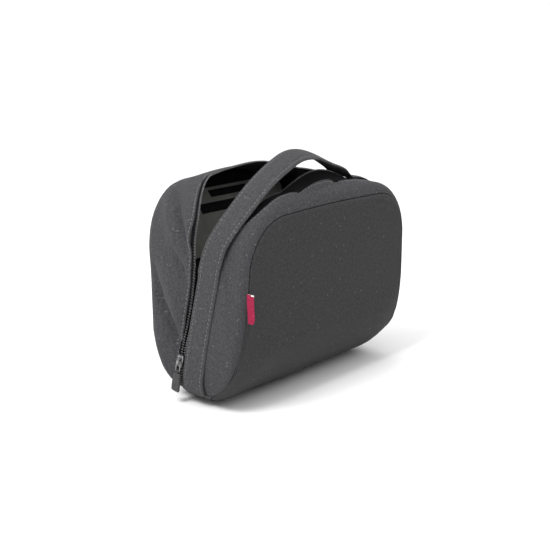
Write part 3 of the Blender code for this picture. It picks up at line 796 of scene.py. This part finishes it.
def cloth_material(name, dark, light, fleck, fleck_share, pitch=0.0008, weave=0.00016, roughness=0.92):
    """Heathered woven cloth: mottled threads, a few pale flecks and a plain weave in relief."""
    made = Nodes(bpy.data.materials.new(name))
    where = made.where("UV")
    stretch = made.add("ShaderNodeMapping", Scale=(1.0, 0.55, 1.0))
    made.link(where, stretch.inputs["Vector"])
    stretched = stretch.outputs["Vector"]
    threads = made.noise(stretched, Scale=900.0, Detail=2.0, Roughness=0.6)
    mottle = made.noise(where, Scale=260.0, Detail=4.0, Roughness=0.7)
    both = made.math("ADD", made.math("MULTIPLY", threads, 0.62), made.math("MULTIPLY", mottle, 0.38))
    colour = made.mix(made.ramp(both, 0.38, 0.62), dark, light)
    cells = made.add("ShaderNodeTexVoronoi", Scale=620.0, Randomness=1.0)
    made.link(stretched, cells.inputs["Vector"])
    pick = made.add("ShaderNodeSeparateColor")
    made.link(cells.outputs["Color"], pick.inputs[0])
    chosen = made.math("GREATER_THAN", pick.outputs[0], 1.0 - fleck_share)
    near = made.math("LESS_THAN", cells.outputs["Distance"], 0.42)
    colour = made.mix(made.math("MULTIPLY", chosen, near), colour, fleck)
    crossed = [made.bands(where, direction, pitch, Distortion=0.6, Detail=1.0) for direction in ("X", "Y")]
    normal = made.bump(made.math("MULTIPLY", *crossed), weave, 0.9)
    normal = made.bump(mottle, 0.0006, 0.5, normal)
    return made.finish(
        colour, normal, Roughness=roughness, Sheen_Weight=0.06, Sheen_Roughness=0.5,
        Specular_IOR_Level=0.18,
    )


def tape_material(name, colour, ridge):
    """Woven zip tape with fine ribs along it."""
    made = Nodes(bpy.data.materials.new(name))
    where = made.where("UV")
    ribs = made.bands(where, "Y", 0.0011, Distortion=0.3)
    grain = made.noise(where, Scale=1200.0, Detail=2.0)
    return made.finish(
        made.mix(grain, colour, ridge), made.bump(ribs, 0.0002, 0.9),
        Roughness=0.85, Specular_IOR_Level=0.08,
    )


def plain_material(name, dark, light, roughness, scale, grain=0.0001, metallic=0.0):
    """A hard finish with slight cloudiness and a fine grain."""
    made = Nodes(bpy.data.materials.new(name))
    where = made.where("Object")
    cloud = made.noise(where, Scale=scale, Detail=4.0, Roughness=0.6)
    fine = made.noise(where, Scale=scale * 6, Detail=2.0)
    low = made.math("MULTIPLY", made.ramp(cloud, 0.2, 0.8), 0.12)
    made.link(made.math("ADD", low, roughness - 0.06), made.shader.inputs["Roughness"])
    return made.finish(
        made.mix(made.ramp(cloud, 0.35, 0.65), dark, light), made.bump(fine, grain, 0.6),
        Metallic=metallic, Specular_IOR_Level=0.4,
    )


FRONT_CLOTH = cloth_material(
    "front cloth", (0.0215, 0.0213, 0.0225), (0.0405, 0.0400, 0.0415), (0.070, 0.070, 0.072), 0.010,
)
SIDE_CLOTH = cloth_material(
    "side cloth", (0.0275, 0.0272, 0.0300), (0.062, 0.0615, 0.0655), (0.100, 0.100, 0.104), 0.025,
)
STRAP_CLOTH = cloth_material(
    "strap cloth", (0.029, 0.0287, 0.031), (0.068, 0.0675, 0.071), (0.105, 0.105, 0.108), 0.025,
)
# Inner side of the lined cloth: partly a real black lining, partly painted shade, made near-black so that the
# bag's inside reads as shaded.
LINING_AND_PAINTED_SHADE = cloth_material(
    "black lining and painted shade", (0.0035, 0.0035, 0.0037), (0.006, 0.006, 0.0065), (0.01, 0.01, 0.011), 0.01,
)
THREAD = plain_material("grey thread", (0.10, 0.10, 0.103), (0.17, 0.17, 0.174), 0.7, 900.0)
TAPE = tape_material("zip tape", (0.0035, 0.0035, 0.0037), (0.008, 0.008, 0.0084))
TEETH = plain_material("zip teeth", (0.055, 0.055, 0.057), (0.17, 0.17, 0.174), 0.34, 420.0)
METAL = plain_material("slider metal", (0.17, 0.17, 0.175), (0.28, 0.28, 0.285), 0.34, 260.0, 0.00004, 1.0)
RUBBER = plain_material("tab rubber", (0.028, 0.028, 0.030), (0.044, 0.044, 0.046), 0.62, 400.0, 0.00012)
RED = cloth_material(
    "crimson ribbon", (0.22, 0.007, 0.034), (0.34, 0.011, 0.056), (0.42, 0.03, 0.09), 0.02,
    0.0006, 0.00008, 0.75,
)
WHITE_EDGE = cloth_material(
    "white ribbon edge", (0.62, 0.62, 0.62), (0.75, 0.75, 0.74), (0.8, 0.8, 0.8), 0.02, 0.0006, 0.00008,
)
BOARD = plain_material("grey board", (0.175, 0.180, 0.166), (0.215, 0.220, 0.204), 0.66, 60.0, 0.00015)
PLASTIC = plain_material("black plastic", (0.012, 0.012, 0.013), (0.018, 0.018, 0.019), 0.5, 90.0, 0.0002)


def make_panel(node, surface, seam, material, wave_lift):
    """The face panel of a half."""
    girths = even_girths(surface, PANEL_MIDDLE, 0.0, 2.0, ROW_STEP)[:-1]
    cloth, flat = panel_cloth(surface, seam, girths)
    sink_seam(cloth, cloth.to_end())
    if wave_lift:
        add_waves(cloth, wave_lift, PANEL_WAVE_LENGTH, 3.0)
    make_cloth(node + "_cloth", cloth, material, (node,), flat=flat)


def make_bottom():
    """The strip under the bag, from the front panel's seam to the back panel's."""
    start_girth = move_girth(front_point, GUSSET_END, GUSSET_MIDDLE, -GAP / 2)
    points = []
    for girth in even_girths(body_point, 3.0, -start_girth, start_girth, ROW_STEP):
        front = move_depth(front_point, girth, seam_depth(girth), GAP / 2)
        back = 6.0 - move_depth(back_point, girth, REAR_SEAM, GAP / 2)
        depths = looped(body_point, girth, front, back, ((3.0, 6), (4.0, 4), (None, 4)))
        points.append([body_point(girth, depth) for depth in depths])
    cloth = Cloth(points)
    sink_seam(cloth, cloth.to_end())
    make_cloth("bottom_cloth", cloth, SIDE_CLOTH, ("bottom_panel",))


def gusset_ends(surface):
    """The girth places of a gusset's two ends."""
    start = move_girth(surface, GUSSET_END, GUSSET_MIDDLE, GAP / 2)
    return start, 2.0 - start


def cloth_end(surface, girth):
    """The depth place where a gusset's cloth ends beside the zip."""
    half = "front" if surface is front_point else "back"
    bare = 2 * COIL_RADIUS + (TAPE_WIDTH - 2 * COIL_RADIUS) * read_table(BARE_TAPE, half, girth)
    return move_depth(surface, girth, 3.0, -bare)


def make_gusset(node, surface, seam, counts, folds, offset):
    """The side-top-side strip of a half, from its seam with the panel to the zip's tape."""
    points = []
    for girth in even_girths(surface, GUSSET_MIDDLE, *gusset_ends(surface), ROW_STEP):
        start = move_depth(surface, girth, seam(girth), GAP / 2)
        end = cloth_end(surface, girth)
        turn = max(start + (end - start) / 4, 2.0)
        depths = looped(surface, girth, start, end, ((turn, counts[0]), (None, counts[1])))
        points.append([surface(girth, depth) for depth in depths])
    cloth = Cloth(points)
    add_waves(cloth, WAVE_LIFT, WAVE_LENGTH, offset)
    add_folds(cloth, surface, folds)
    add_puckers(cloth, cloth.along, offset)
    add_puckers(cloth, cloth.to_end(), offset + 7.0)
    sink_seam(cloth, cloth.along)
    cloth.lift(-GROOVE_SINK * bell(cloth.to_end() - ZIP_STITCH_INSET, GROOVE_WIDTH))
    name = node + "_cloth"
    make_cloth(name, cloth, SIDE_CLOTH, (node,))
    make_stitches(name + "_stitches", *cloth.line(ZIP_STITCH_INSET))


def make_binding(name, points):
    """A strip of tape inside the bag that covers a seam, whose middle column lies on the seam."""
    cloth = Cloth(points)
    middle = cloth.points.shape[1] // 2
    distance = cloth.along - cloth.along[:, middle:middle + 1]
    cloth.lift(-WALL - BINDING_DROP - SEAM_SINK * bell(distance, SEAM_WIDTH * 1.3))
    make_cloth(name, cloth, TAPE, (), BINDING, False)


def make_bindings():
    """The four strips: along both panels' seams and along the bottom's ends."""
    reaches = [BINDING_REACH * share for share in (-1.0, -0.5, -0.2, 0.0, 0.2, 0.5, 1.0)]
    for name, surface, seam in (("front", front_point, seam_depth), ("back", back_point, rear_seam_depth)):
        points = []
        for girth in even_girths(surface, BINDING_MIDDLE, 0.0, 2.0, 2 * ROW_STEP):
            depths = [move_depth(surface, girth, seam(girth), reach) for reach in reaches]
            points.append([surface(girth, depth) for depth in depths])
        make_binding(name + "_seam_binding", points)
    for name, start in (("left", GUSSET_END), ("right", 2.0 - GUSSET_END)):
        points = []
        for depth in spaced(seam_depth(start) + 0.05, 6.0 - REAR_SEAM - 0.05, 24):
            girths = [move_girth(body_point, start, depth, reach) for reach in reaches]
            points.append([body_point(girth, depth) for girth in girths])
        make_binding(name + "_end_binding", points)


def tube_faces(first, rings, sides):
    """The faces of a closed form through rings of vertices, with both ends capped."""
    faces = []
    for ring in range(rings - 1):
        start = first + ring * sides
        for side in range(sides):
            near, far = start + side, start + (side + 1) % sides
            faces.append((near, far, far + sides, near + sides))
    last = first + (rings - 1) * sides
    faces.append(tuple(range(first + sides - 1, first - 1, -1)))
    faces.append(tuple(range(last, last + sides)))
    return faces


def make_stitches(name, line, normals, slot="side_cloth"):
    """Short threads that dip into the cloth at both ends, along a line."""
    steps = np.linalg.norm(np.diff(line, axis=0), axis=1)
    lengths = np.concatenate(([0.0], np.cumsum(steps)))
    vertices, faces = [], []
    for stitch in range(int(lengths[-1] / STITCH_PITCH)):
        start = stitch * STITCH_PITCH + (STITCH_PITCH - STITCH_LENGTH) / 2
        faces += tube_faces(len(vertices), len(STITCH_RINGS), STITCH_SIDES)
        for share, size, rise in STITCH_RINGS:
            place = start + share * STITCH_LENGTH
            out = value_at(normals, lengths, place)
            out = out / np.linalg.norm(out)
            ahead = value_at(line, lengths, min(place + 0.0005, lengths[-1]))
            along = ahead - value_at(line, lengths, max(place - 0.0005, 0.0))
            across = np.cross(out, along)
            across = across / np.linalg.norm(across)
            middle = value_at(line, lengths, place) + out * rise * STITCH_RADIUS
            for side in range(STITCH_SIDES):
                angle = 2 * math.pi * side / STITCH_SIDES
                reach = (across * math.cos(angle) + out * math.sin(angle)) * STITCH_RADIUS * size
                vertices.append(tuple(middle + reach))
    new_object(name, new_mesh(name, vertices, faces), (THREAD,))


def make_zip_edge(half, surface):
    """One side of the zip: the woven tape, and the coil of teeth along its free edge."""
    start, end = gusset_ends(surface)
    tape = []
    for girth in even_girths(surface, 3.0, start, end, 0.003):
        under = move_depth(surface, girth, cloth_end(surface, girth), -TAPE_UNDERLAP)
        free = move_depth(surface, girth, 3.0, -0.9 * COIL_RADIUS)
        tape.append([surface(girth, depth) for depth in spaced(under, free, 4)])
    cloth = Cloth(tape)
    cloth.lift(np.full(cloth.points.shape[:2], -TAPE_SINK - TAPE_DROP))
    cloth.lift(TAPE_DROP * (cloth.along / cloth.along[:, -1:]) ** 0.5)
    node = half + "_zip_tape"
    make_cloth(node + "_woven", cloth, TAPE, (node,), TAPE_THICKNESS, False)

    points = []
    for girth in even_girths(surface, 3.0, start, end, TOOTH_PITCH / 8):
        depths = [move_depth(surface, girth, 3.0, -reach) for reach in (2 * COIL_RADIUS, COIL_RADIUS, 0.0)]
        points.append([surface(girth, depth) for depth in depths])
    edge = Cloth(points)
    out = edge.normals[:, 1]
    middle = edge.points[:, 1] - out * COIL_RADIUS
    across = edge.points[:, 2] - edge.points[:, 0]
    across = across / np.linalg.norm(across, axis=1, keepdims=True)
    turns = edge.around[:, 1:2] / TOOTH_PITCH * 2 * math.pi
    radius = COIL_RADIUS - ZIP_WIRE
    helix = middle + radius * (across * np.cos(turns) + out * 0.8 * np.sin(turns))
    make_wire(half + "_zip_teeth", helix, ZIP_WIRE, (TEETH,), "bag", (half + "_zip_coil",), 1)


def make_wire(name, points, radius, materials, body, replaced, resolution, is_cyclic=False):
    """A round wire through points."""
    curve = bpy.data.curves.new(name, "CURVE")
    curve.dimensions = "3D"
    curve.bevel_depth = radius
    curve.bevel_resolution = resolution
    curve.use_fill_caps = not is_cyclic
    spline = curve.splines.new("POLY")
    spline.use_cyclic_u = is_cyclic
    spline.points.add(len(points) - 1)
    for place, point in zip(spline.points, points):
        place.co = (*point, 1.0)
    spline.use_smooth = True
    new_object(name, curve, materials, body, replaced)


def strap_middle(z):
    """The strap's middle line: its distance behind the origin at a height."""
    return zip_line(z) - STRAP_SETBACK - STRAP_WIDTH / 2


def strap_on_body(girth):
    """A row of points across the strap's inner side where it lies on the front gusset."""
    _, z = outline_point(RINGS["front_gusset"], girth)
    start, end = front_point(girth, 2.0), front_point(girth, 3.0)
    step = 0.004
    row = []
    for share in spaced(-1.0, 1.0, STRAP_COLUMNS):
        y = strap_middle(z) + share * STRAP_WIDTH / 2
        depth = min(3.0, 2.0 + (y - start.y) / (end.y - start.y))
        near = min(depth, 2.9)
        point = front_point(girth, depth)
        around = front_point(girth + step, near) - front_point(girth - step, near)
        along = front_point(girth, near + step) - front_point(girth, near - step)
        normal = around.cross(along).normalized()
        if normal.dot(point - Vector(CENTRE)) < 0.0:
            normal.negate()
        out = Vector((normal.x, 0.0, normal.z)).normalized()
        row.append(Vector((point.x, y, point.z)) + out * STRAP_LIFT)
    return row


def strap_in_air(knot, along):
    """A row of points across the strap's inner side where it stands clear as a handle."""
    x, z, crown, tilt, forward = knot
    out = Vector((-along.z, 0.0, along.x))
    row = []
    for share in spaced(-1.0, 1.0, STRAP_COLUMNS):
        rise = STRAP_WIDTH * (crown * (1 - share ** 2) + tilt * share)
        y = strap_middle(z) + (share / 2 - forward) * STRAP_WIDTH
        row.append(Vector((x, y, z)) + out * rise)
    return row


def spline_value(knots, share):
    """A place between the middle two of four knots, on a smooth curve through them."""
    values = []
    for before, start, end, after in zip(*knots):
        values.append(smooth_value(start, end, (end - before) / 2, (after - start) / 2, share))
    return tuple(values)


def strap_rows():
    """The strap's inner side: up the left side, through the air as a handle and down the right side."""
    start = move_girth(front_point, GUSSET_END, GUSSET_MIDDLE, GAP)
    lefts = even_girths(front_point, GUSSET_MIDDLE, start, STRAP_LEFT_LIFT, ROW_STEP)
    rights = even_girths(front_point, GUSSET_MIDDLE, 2.0 - STRAP_RIGHT_LIFT, 2.0 - start, ROW_STEP)
    left = [strap_on_body(girth) for girth in lefts]
    right = [strap_on_body(girth) for girth in rights]
    middle = STRAP_COLUMNS // 2
    near = 6
    knots = [(row[middle].x, row[middle].z, 0.0, 0.0, 0.0) for row in (left[-near], left[-1])]
    for place in STRAP_PLACES:
        knots.append((place.across * HALF_WIDTH, place.up * HEIGHT, *place[2:]))
    knots += [(row[middle].x, row[middle].z, 0.0, 0.0, 0.0) for row in (right[0], right[near])]
    smooth = []
    for index in range(1, len(knots) - 2):
        for step in range(STRAP_STEPS):
            smooth.append(spline_value(knots[index - 1:index + 3], step / STRAP_STEPS))
    smooth.append(knots[-2])
    air = []
    for index in range(1, len(smooth) - 1):
        before, after = smooth[index - 1], smooth[index + 1]
        along = Vector((after[0] - before[0], 0.0, after[1] - before[1])).normalized()
        air.append(strap_in_air(smooth[index], along))
    return left + air + right


def make_strap():
    """The strap, with a groove and a row of stitches along each edge."""
    inner = Cloth(strap_rows())
    cloth = Cloth(inner.points + inner.normals * STRAP_THICKNESS)
    across = np.minimum(cloth.along, cloth.to_end())
    cloth.lift(-GROOVE_SINK * bell(across - STRAP_STITCH_INSET, GROOVE_WIDTH))
    cloth.lift(-STRAP_EDGE_SINK * bell(across, STRAP_EDGE_WIDTH))
    make_cloth("strap_cloth", cloth, STRAP_CLOTH, ("carry_strap",), STRAP_THICKNESS)
    make_stitches("strap_stitches_front", *cloth.line(-STRAP_STITCH_INSET), slot="strap_cloth")
    make_stitches("strap_stitches_rear", *cloth.line(STRAP_STITCH_INSET), slot="strap_cloth")


def frame_at(origin, *axes):
    """A frame at an origin, with the given directions of its X, Y and Z."""
    return Matrix.Translation(origin) @ Matrix(axes).transposed().to_4x4()


def zip_frame():
    """The slider's frame: X out of the bag's left side, Y across the zip and Z up along it."""
    x, height = outline_point(RINGS["front_rim"], SLIDER_GIRTH)
    along = Vector((0.0, ZIP_LEAN, 1.0)).normalized()
    out = Vector((-1.0, 0.0, 0.0))
    return frame_at(Vector((x, zip_line(height), height)), out, along.cross(out), along)


def loft(name, rings, matrix, material, body, replaced=()):
    """A closed form through rings of points, with both ends capped."""
    vertices = [tuple(matrix @ Vector(point)) for ring in rings for point in ring]
    mesh = new_mesh(name, vertices, tube_faces(0, len(rings), len(rings[0])))
    add_smoothing(new_object(name, mesh, (material,), body, replaced))


def soft_ring(half_x, half_y, z, sides=20, square=4.0):
    """A ring between an ellipse and a rectangle, at a height."""
    ring = []
    for side in range(sides):
        angle = 2 * math.pi * side / sides
        c, s = math.cos(angle), math.sin(angle)
        ring.append((
            half_x * math.copysign(abs(c) ** (2 / square), c),
            half_y * math.copysign(abs(s) ** (2 / square), s),
            z,
        ))
    return ring


def make_slider():
    """The slider's body and the arched bridge on it."""
    matrix = zip_frame()
    plate = Matrix.Translation((GAP + SLIDER_THICKNESS / 2, 0.0, 0.0))
    rings = [
        soft_ring(SLIDER_THICKNESS / 2 * thick, SLIDER_WIDTH / 2 * width, share * SLIDER_LENGTH)
        for share, width, thick in SLIDER_RINGS
    ]
    loft("slider_body", rings, matrix @ plate, METAL, "bag", ("zip_slider",))
    rise = 2 * (WIRE_RADIUS + LINK_CLEARANCE) + BRIDGE_WALL / 2
    arch = []
    for share in spaced(0.0, 1.0, 12):
        angle = math.pi * share
        lift = rise * math.sin(angle) ** 0.45 if 0.0 < share < 1.0 else -BRIDGE_ROOT
        along = BRIDGE_LENGTH / 2 * 0.92 * math.cos(angle)
        lean = angle - math.pi / 2
        arch.append([
            (GAP + SLIDER_THICKNESS + lift + x * math.cos(lean), y, along - x * math.sin(lean))
            for x, y, _ in soft_ring(BRIDGE_WALL / 2, BRIDGE_WIDTH / 2, 0.0, 12)
        ])
    loft("slider_bridge", arch, matrix, METAL, "bag")


def make_link(matrix):
    """The bent wire that hangs from the bridge."""
    half_width = BRIDGE_WIDTH / 2 + LINK_CLEARANCE + WIRE_RADIUS
    corner = half_width * 0.6
    side, low = half_width - corner, corner - LINK_LENGTH
    points = []
    for quarter, (across, along) in enumerate(((side, -corner), (-side, -corner), (-side, low), (side, low))):
        for share in spaced(0.0, 1.0, 6):
            angle = math.pi / 2 * (quarter + share)
            place = (0.0, across + corner * math.cos(angle), along + corner * math.sin(angle))
            points.append(matrix @ Vector(place))
    make_wire("link_wire", points, WIRE_RADIUS, (METAL,), "zip_pull", ("pull_link",), 3, True)


def make_tab_grip(matrix):
    """The tab's ribbed and tapered body."""
    top = -LINK_LENGTH - WIRE_RADIUS - 2 * LINK_CLEARANCE
    rings = []
    for row in range(TAB_ROWS + 1):
        share = row / TAB_ROWS
        rounding = 1.0 - 0.30 * math.exp(-min(share, 1.0 - share) * TAB_ROWS / 0.9)
        ribbed = (share - GRIP_START) / GRIP_LENGTH
        grip = 0.93 + 0.07 * math.cos(ribbed * 2 * GRIP_RIBS * math.pi) if 0.0 < ribbed < 1.0 else 1.0
        taper = 0.88 + 0.12 * min(1.0, share / 0.55)
        rings.append(soft_ring(
            TAB_THICKNESS / 2 * rounding * grip,
            TAB_WIDTH / 2 * taper * (0.5 + rounding / 2),
            top - share * TAB_LENGTH, 28, 5.0,
        ))
    loft("tab_grip", rings, matrix, RUBBER, "zip_pull", ("pull_tab",))


def make_tab_eye(matrix):
    """The tab's bored eye, round the link's lower end."""
    reach, bore = TAB_THICKNESS / 2, WIRE_RADIUS + GAP
    axis = np.array(matrix @ Vector((0.0, 0.0, -LINK_LENGTH)))
    across = np.array(matrix.to_3x3() @ Vector((0.0, 1.0, 0.0)))
    vertices, faces = [], []
    for step in range(EYE_SIDES):
        angle = 2 * math.pi * step / EYE_SIDES
        drop = -LINK_LENGTH + reach * math.sin(angle)
        for share in EYE_COLUMNS:
            place = Vector((reach * math.cos(angle), share * BRIDGE_WIDTH / 2 * 0.92, drop))
            point = np.array(matrix @ place, float)
            offset = point - axis
            along = across * (offset @ across)
            radial = (offset - along) / np.linalg.norm(offset - along)
            vertices.append(tuple(point))
            vertices.append(tuple(axis + along + radial * bore))
    columns = len(EYE_COLUMNS)

    def at(row, column):
        return (row % EYE_SIDES * columns + column) * 2

    for row in range(EYE_SIDES):
        for column in range(columns - 1):
            near, far = at(row, column), at(row, column + 1)
            next_near, next_far = at(row + 1, column), at(row + 1, column + 1)
            faces.append((near, next_near, next_far, far))
            faces.append((near + 1, far + 1, next_far + 1, next_near + 1))
        for column in (0, columns - 1):
            near, next_near = at(row, column), at(row + 1, column)
            face = (near, near + 1, next_near + 1, next_near)
            faces.append(face if column == 0 else face[::-1])
    new_object("tab_eye", new_mesh("tab_eye", vertices, faces), (RUBBER,), "zip_pull")


def make_pull():
    """The link and the tab, on their own body."""
    matrix = zip_frame() @ Matrix.Translation((WIRE_OFFSET, 0.0, 0.0))
    make_link(matrix)
    make_tab_grip(matrix)
    make_tab_eye(matrix)


def make_label():
    """A bare folded ribbon that is sewn into the front panel's left seam and stands forward from it."""
    low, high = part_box("side_label")
    middle_x = (low.x + high.x) / 2
    half = LABEL_THICKNESS / 2 - RIBBON / 2
    path = [(half, LABEL_ROOT), (half, 0.2 * LABEL_REACH), (half, 0.55 * LABEL_REACH)]
    for step in range(7):
        angle = math.pi * step / 6
        path.append((half * math.cos(angle), LABEL_REACH - half - RIBBON / 2 + half * math.sin(angle)))
    path += [(-half, 0.55 * LABEL_REACH), (-half, 0.2 * LABEL_REACH), (-half, LABEL_ROOT)]
    points = []
    for share in LABEL_ROWS:
        z = low.z + share * (high.z - low.z)
        sway = 0.0003 * math.sin(share * 7.0)
        slant = 0.0011 * (share - 0.5)
        reach = 1.0 - 0.45 * (1.0 - fade(share, -0.12, 0.16))
        points.append([(middle_x - x + sway, high.y - y * reach + slant, z) for x, y in path])
    mesh = grid_mesh("label_ribbon", Cloth(points))
    columns = len(path) - 1
    for index, polygon in enumerate(mesh.polygons):
        if index // columns >= LABEL_WHITE_ROW and index % columns > 1:
            polygon.material_index = 1
    piece = new_object("label_ribbon", mesh, (RED, WHITE_EDGE), replaced=("side_label",))
    thicken(piece, RIBBON, False)


def make_mount_plate():
    """The plain moulded plate on the back, with rounded corners and softened edges."""
    up = Vector((0.0, BACK_LEAN, 1.0)).normalized()
    rear = Vector((0.0, 1.0, -BACK_LEAN)).normalized()
    height = PLATE_BASE + PLATE_HEIGHT / 2
    origin = Vector((0.0, BACK_DEPTH + BACK_LEAN * height, height)) + rear * GAP
    rings = []
    for share, size in PLATE_RINGS:
        rings.append(soft_ring(
            PLATE_HEIGHT / 2 - (1.0 - size) * PLATE_WIDTH / 2, PLATE_WIDTH / 2 * size,
            share * PLATE_THICKNESS, 96, 9.0,
        ))
    matrix = frame_at(origin, up, Vector((1.0, 0.0, 0.0)), rear)
    loft("mount_plate_moulded", rings, matrix, PLASTIC, "bag", ("mount_plate",))


def finish_node(name, material):
    """Give one of the frame's own solids its finish."""
    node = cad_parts[name]
    node.data.materials.clear()
    node.data.materials.append(material)


def make_stage():
    """A pale floor, a white surround and soft lights."""
    mesh = bpy.data.meshes.new("floor")
    corners = [(-1, -1), (1, -1), (1, 1), (-1, 1)]
    mesh.from_pydata([(x * FLOOR_REACH, y * FLOOR_REACH, 0) for x, y in corners], [], [(0, 1, 2, 3)])
    floor = add_object("floor", mesh)
    floor.location.z = -FLOOR_DROP
    pale = Nodes(bpy.data.materials.new("pale floor"))
    set_inputs(
        pale.shader, Base_Color=(FLOOR_TONE, FLOOR_TONE, FLOOR_TONE, 1.0), Roughness=0.95,
        Specular_IOR_Level=0.0,
    )
    mesh.materials.append(pale.owner)

    sky = Nodes(bpy.data.worlds.new("studio"))
    parts = sky.add("ShaderNodeSeparateXYZ")
    sky.link(sky.where("Generated"), parts.inputs[0])
    overhead = sky.ramp(parts.outputs["Z"], 0.20, 0.85, 0.14, 1.48, "SMOOTHSTEP")
    horizon = sky.ramp(parts.outputs["Z"], 0.10, 0.18, 1.0, 0.0)
    background = sky.tree.nodes["Background"]
    sky.link(sky.math("MAXIMUM", overhead, horizon), background.inputs["Strength"])
    set_inputs(background, Color=(1.0, 1.0, 1.0, 1.0))
    bpy.context.scene.world = sky.owner

    for light in LIGHTS:
        data = bpy.data.lights.new(light.name, "AREA")
        data.energy = light.power
        data.size = light.size
        lamp = add_object(light.name, data)
        lamp.location = light.place
        aim = Vector(LIGHT_TARGET) - Vector(light.place)
        lamp.rotation_euler = aim.to_track_quat("-Z", "Y").to_euler()


def make_camera():
    """The camera at the photograph's angle to the bag."""
    azimuth, elevation = math.radians(CAMERA_AZIMUTH), math.radians(CAMERA_ELEVATION)
    back = Vector((
        math.sin(azimuth) * math.cos(elevation),
        -math.cos(azimuth) * math.cos(elevation),
        math.sin(elevation),
    ))
    data = bpy.data.cameras.new("camera")
    data.lens = CAMERA_LENS
    data.sensor_width = 36.0
    camera = add_object("camera", data)
    camera.location = CAMERA_TARGET + back * CAMERA_DISTANCE
    camera.rotation_euler = (-back).to_track_quat("-Z", "Y").to_euler()
    bpy.context.scene.camera = camera
    bpy.context.scene.view_settings.view_transform = "Standard"


make_panel("front_panel", front_point, seam_depth, FRONT_CLOTH, PANEL_WAVE_LIFT)
make_panel("back_panel", back_point, rear_seam_depth, SIDE_CLOTH, 0.0)
make_bottom()
make_bindings()
make_gusset("front_gusset", front_point, seam_depth, (4, 20), FRONT_FOLDS, 1.0)
make_gusset("back_gusset", back_point, rear_seam_depth, (6, 26), BACK_FOLDS, 2.0)
make_zip_edge("front", front_point)
make_zip_edge("back", back_point)
make_strap()
make_slider()
make_pull()
make_label()
finish_node("inner_board", BOARD)
make_mount_plate()
make_stage()
make_camera()
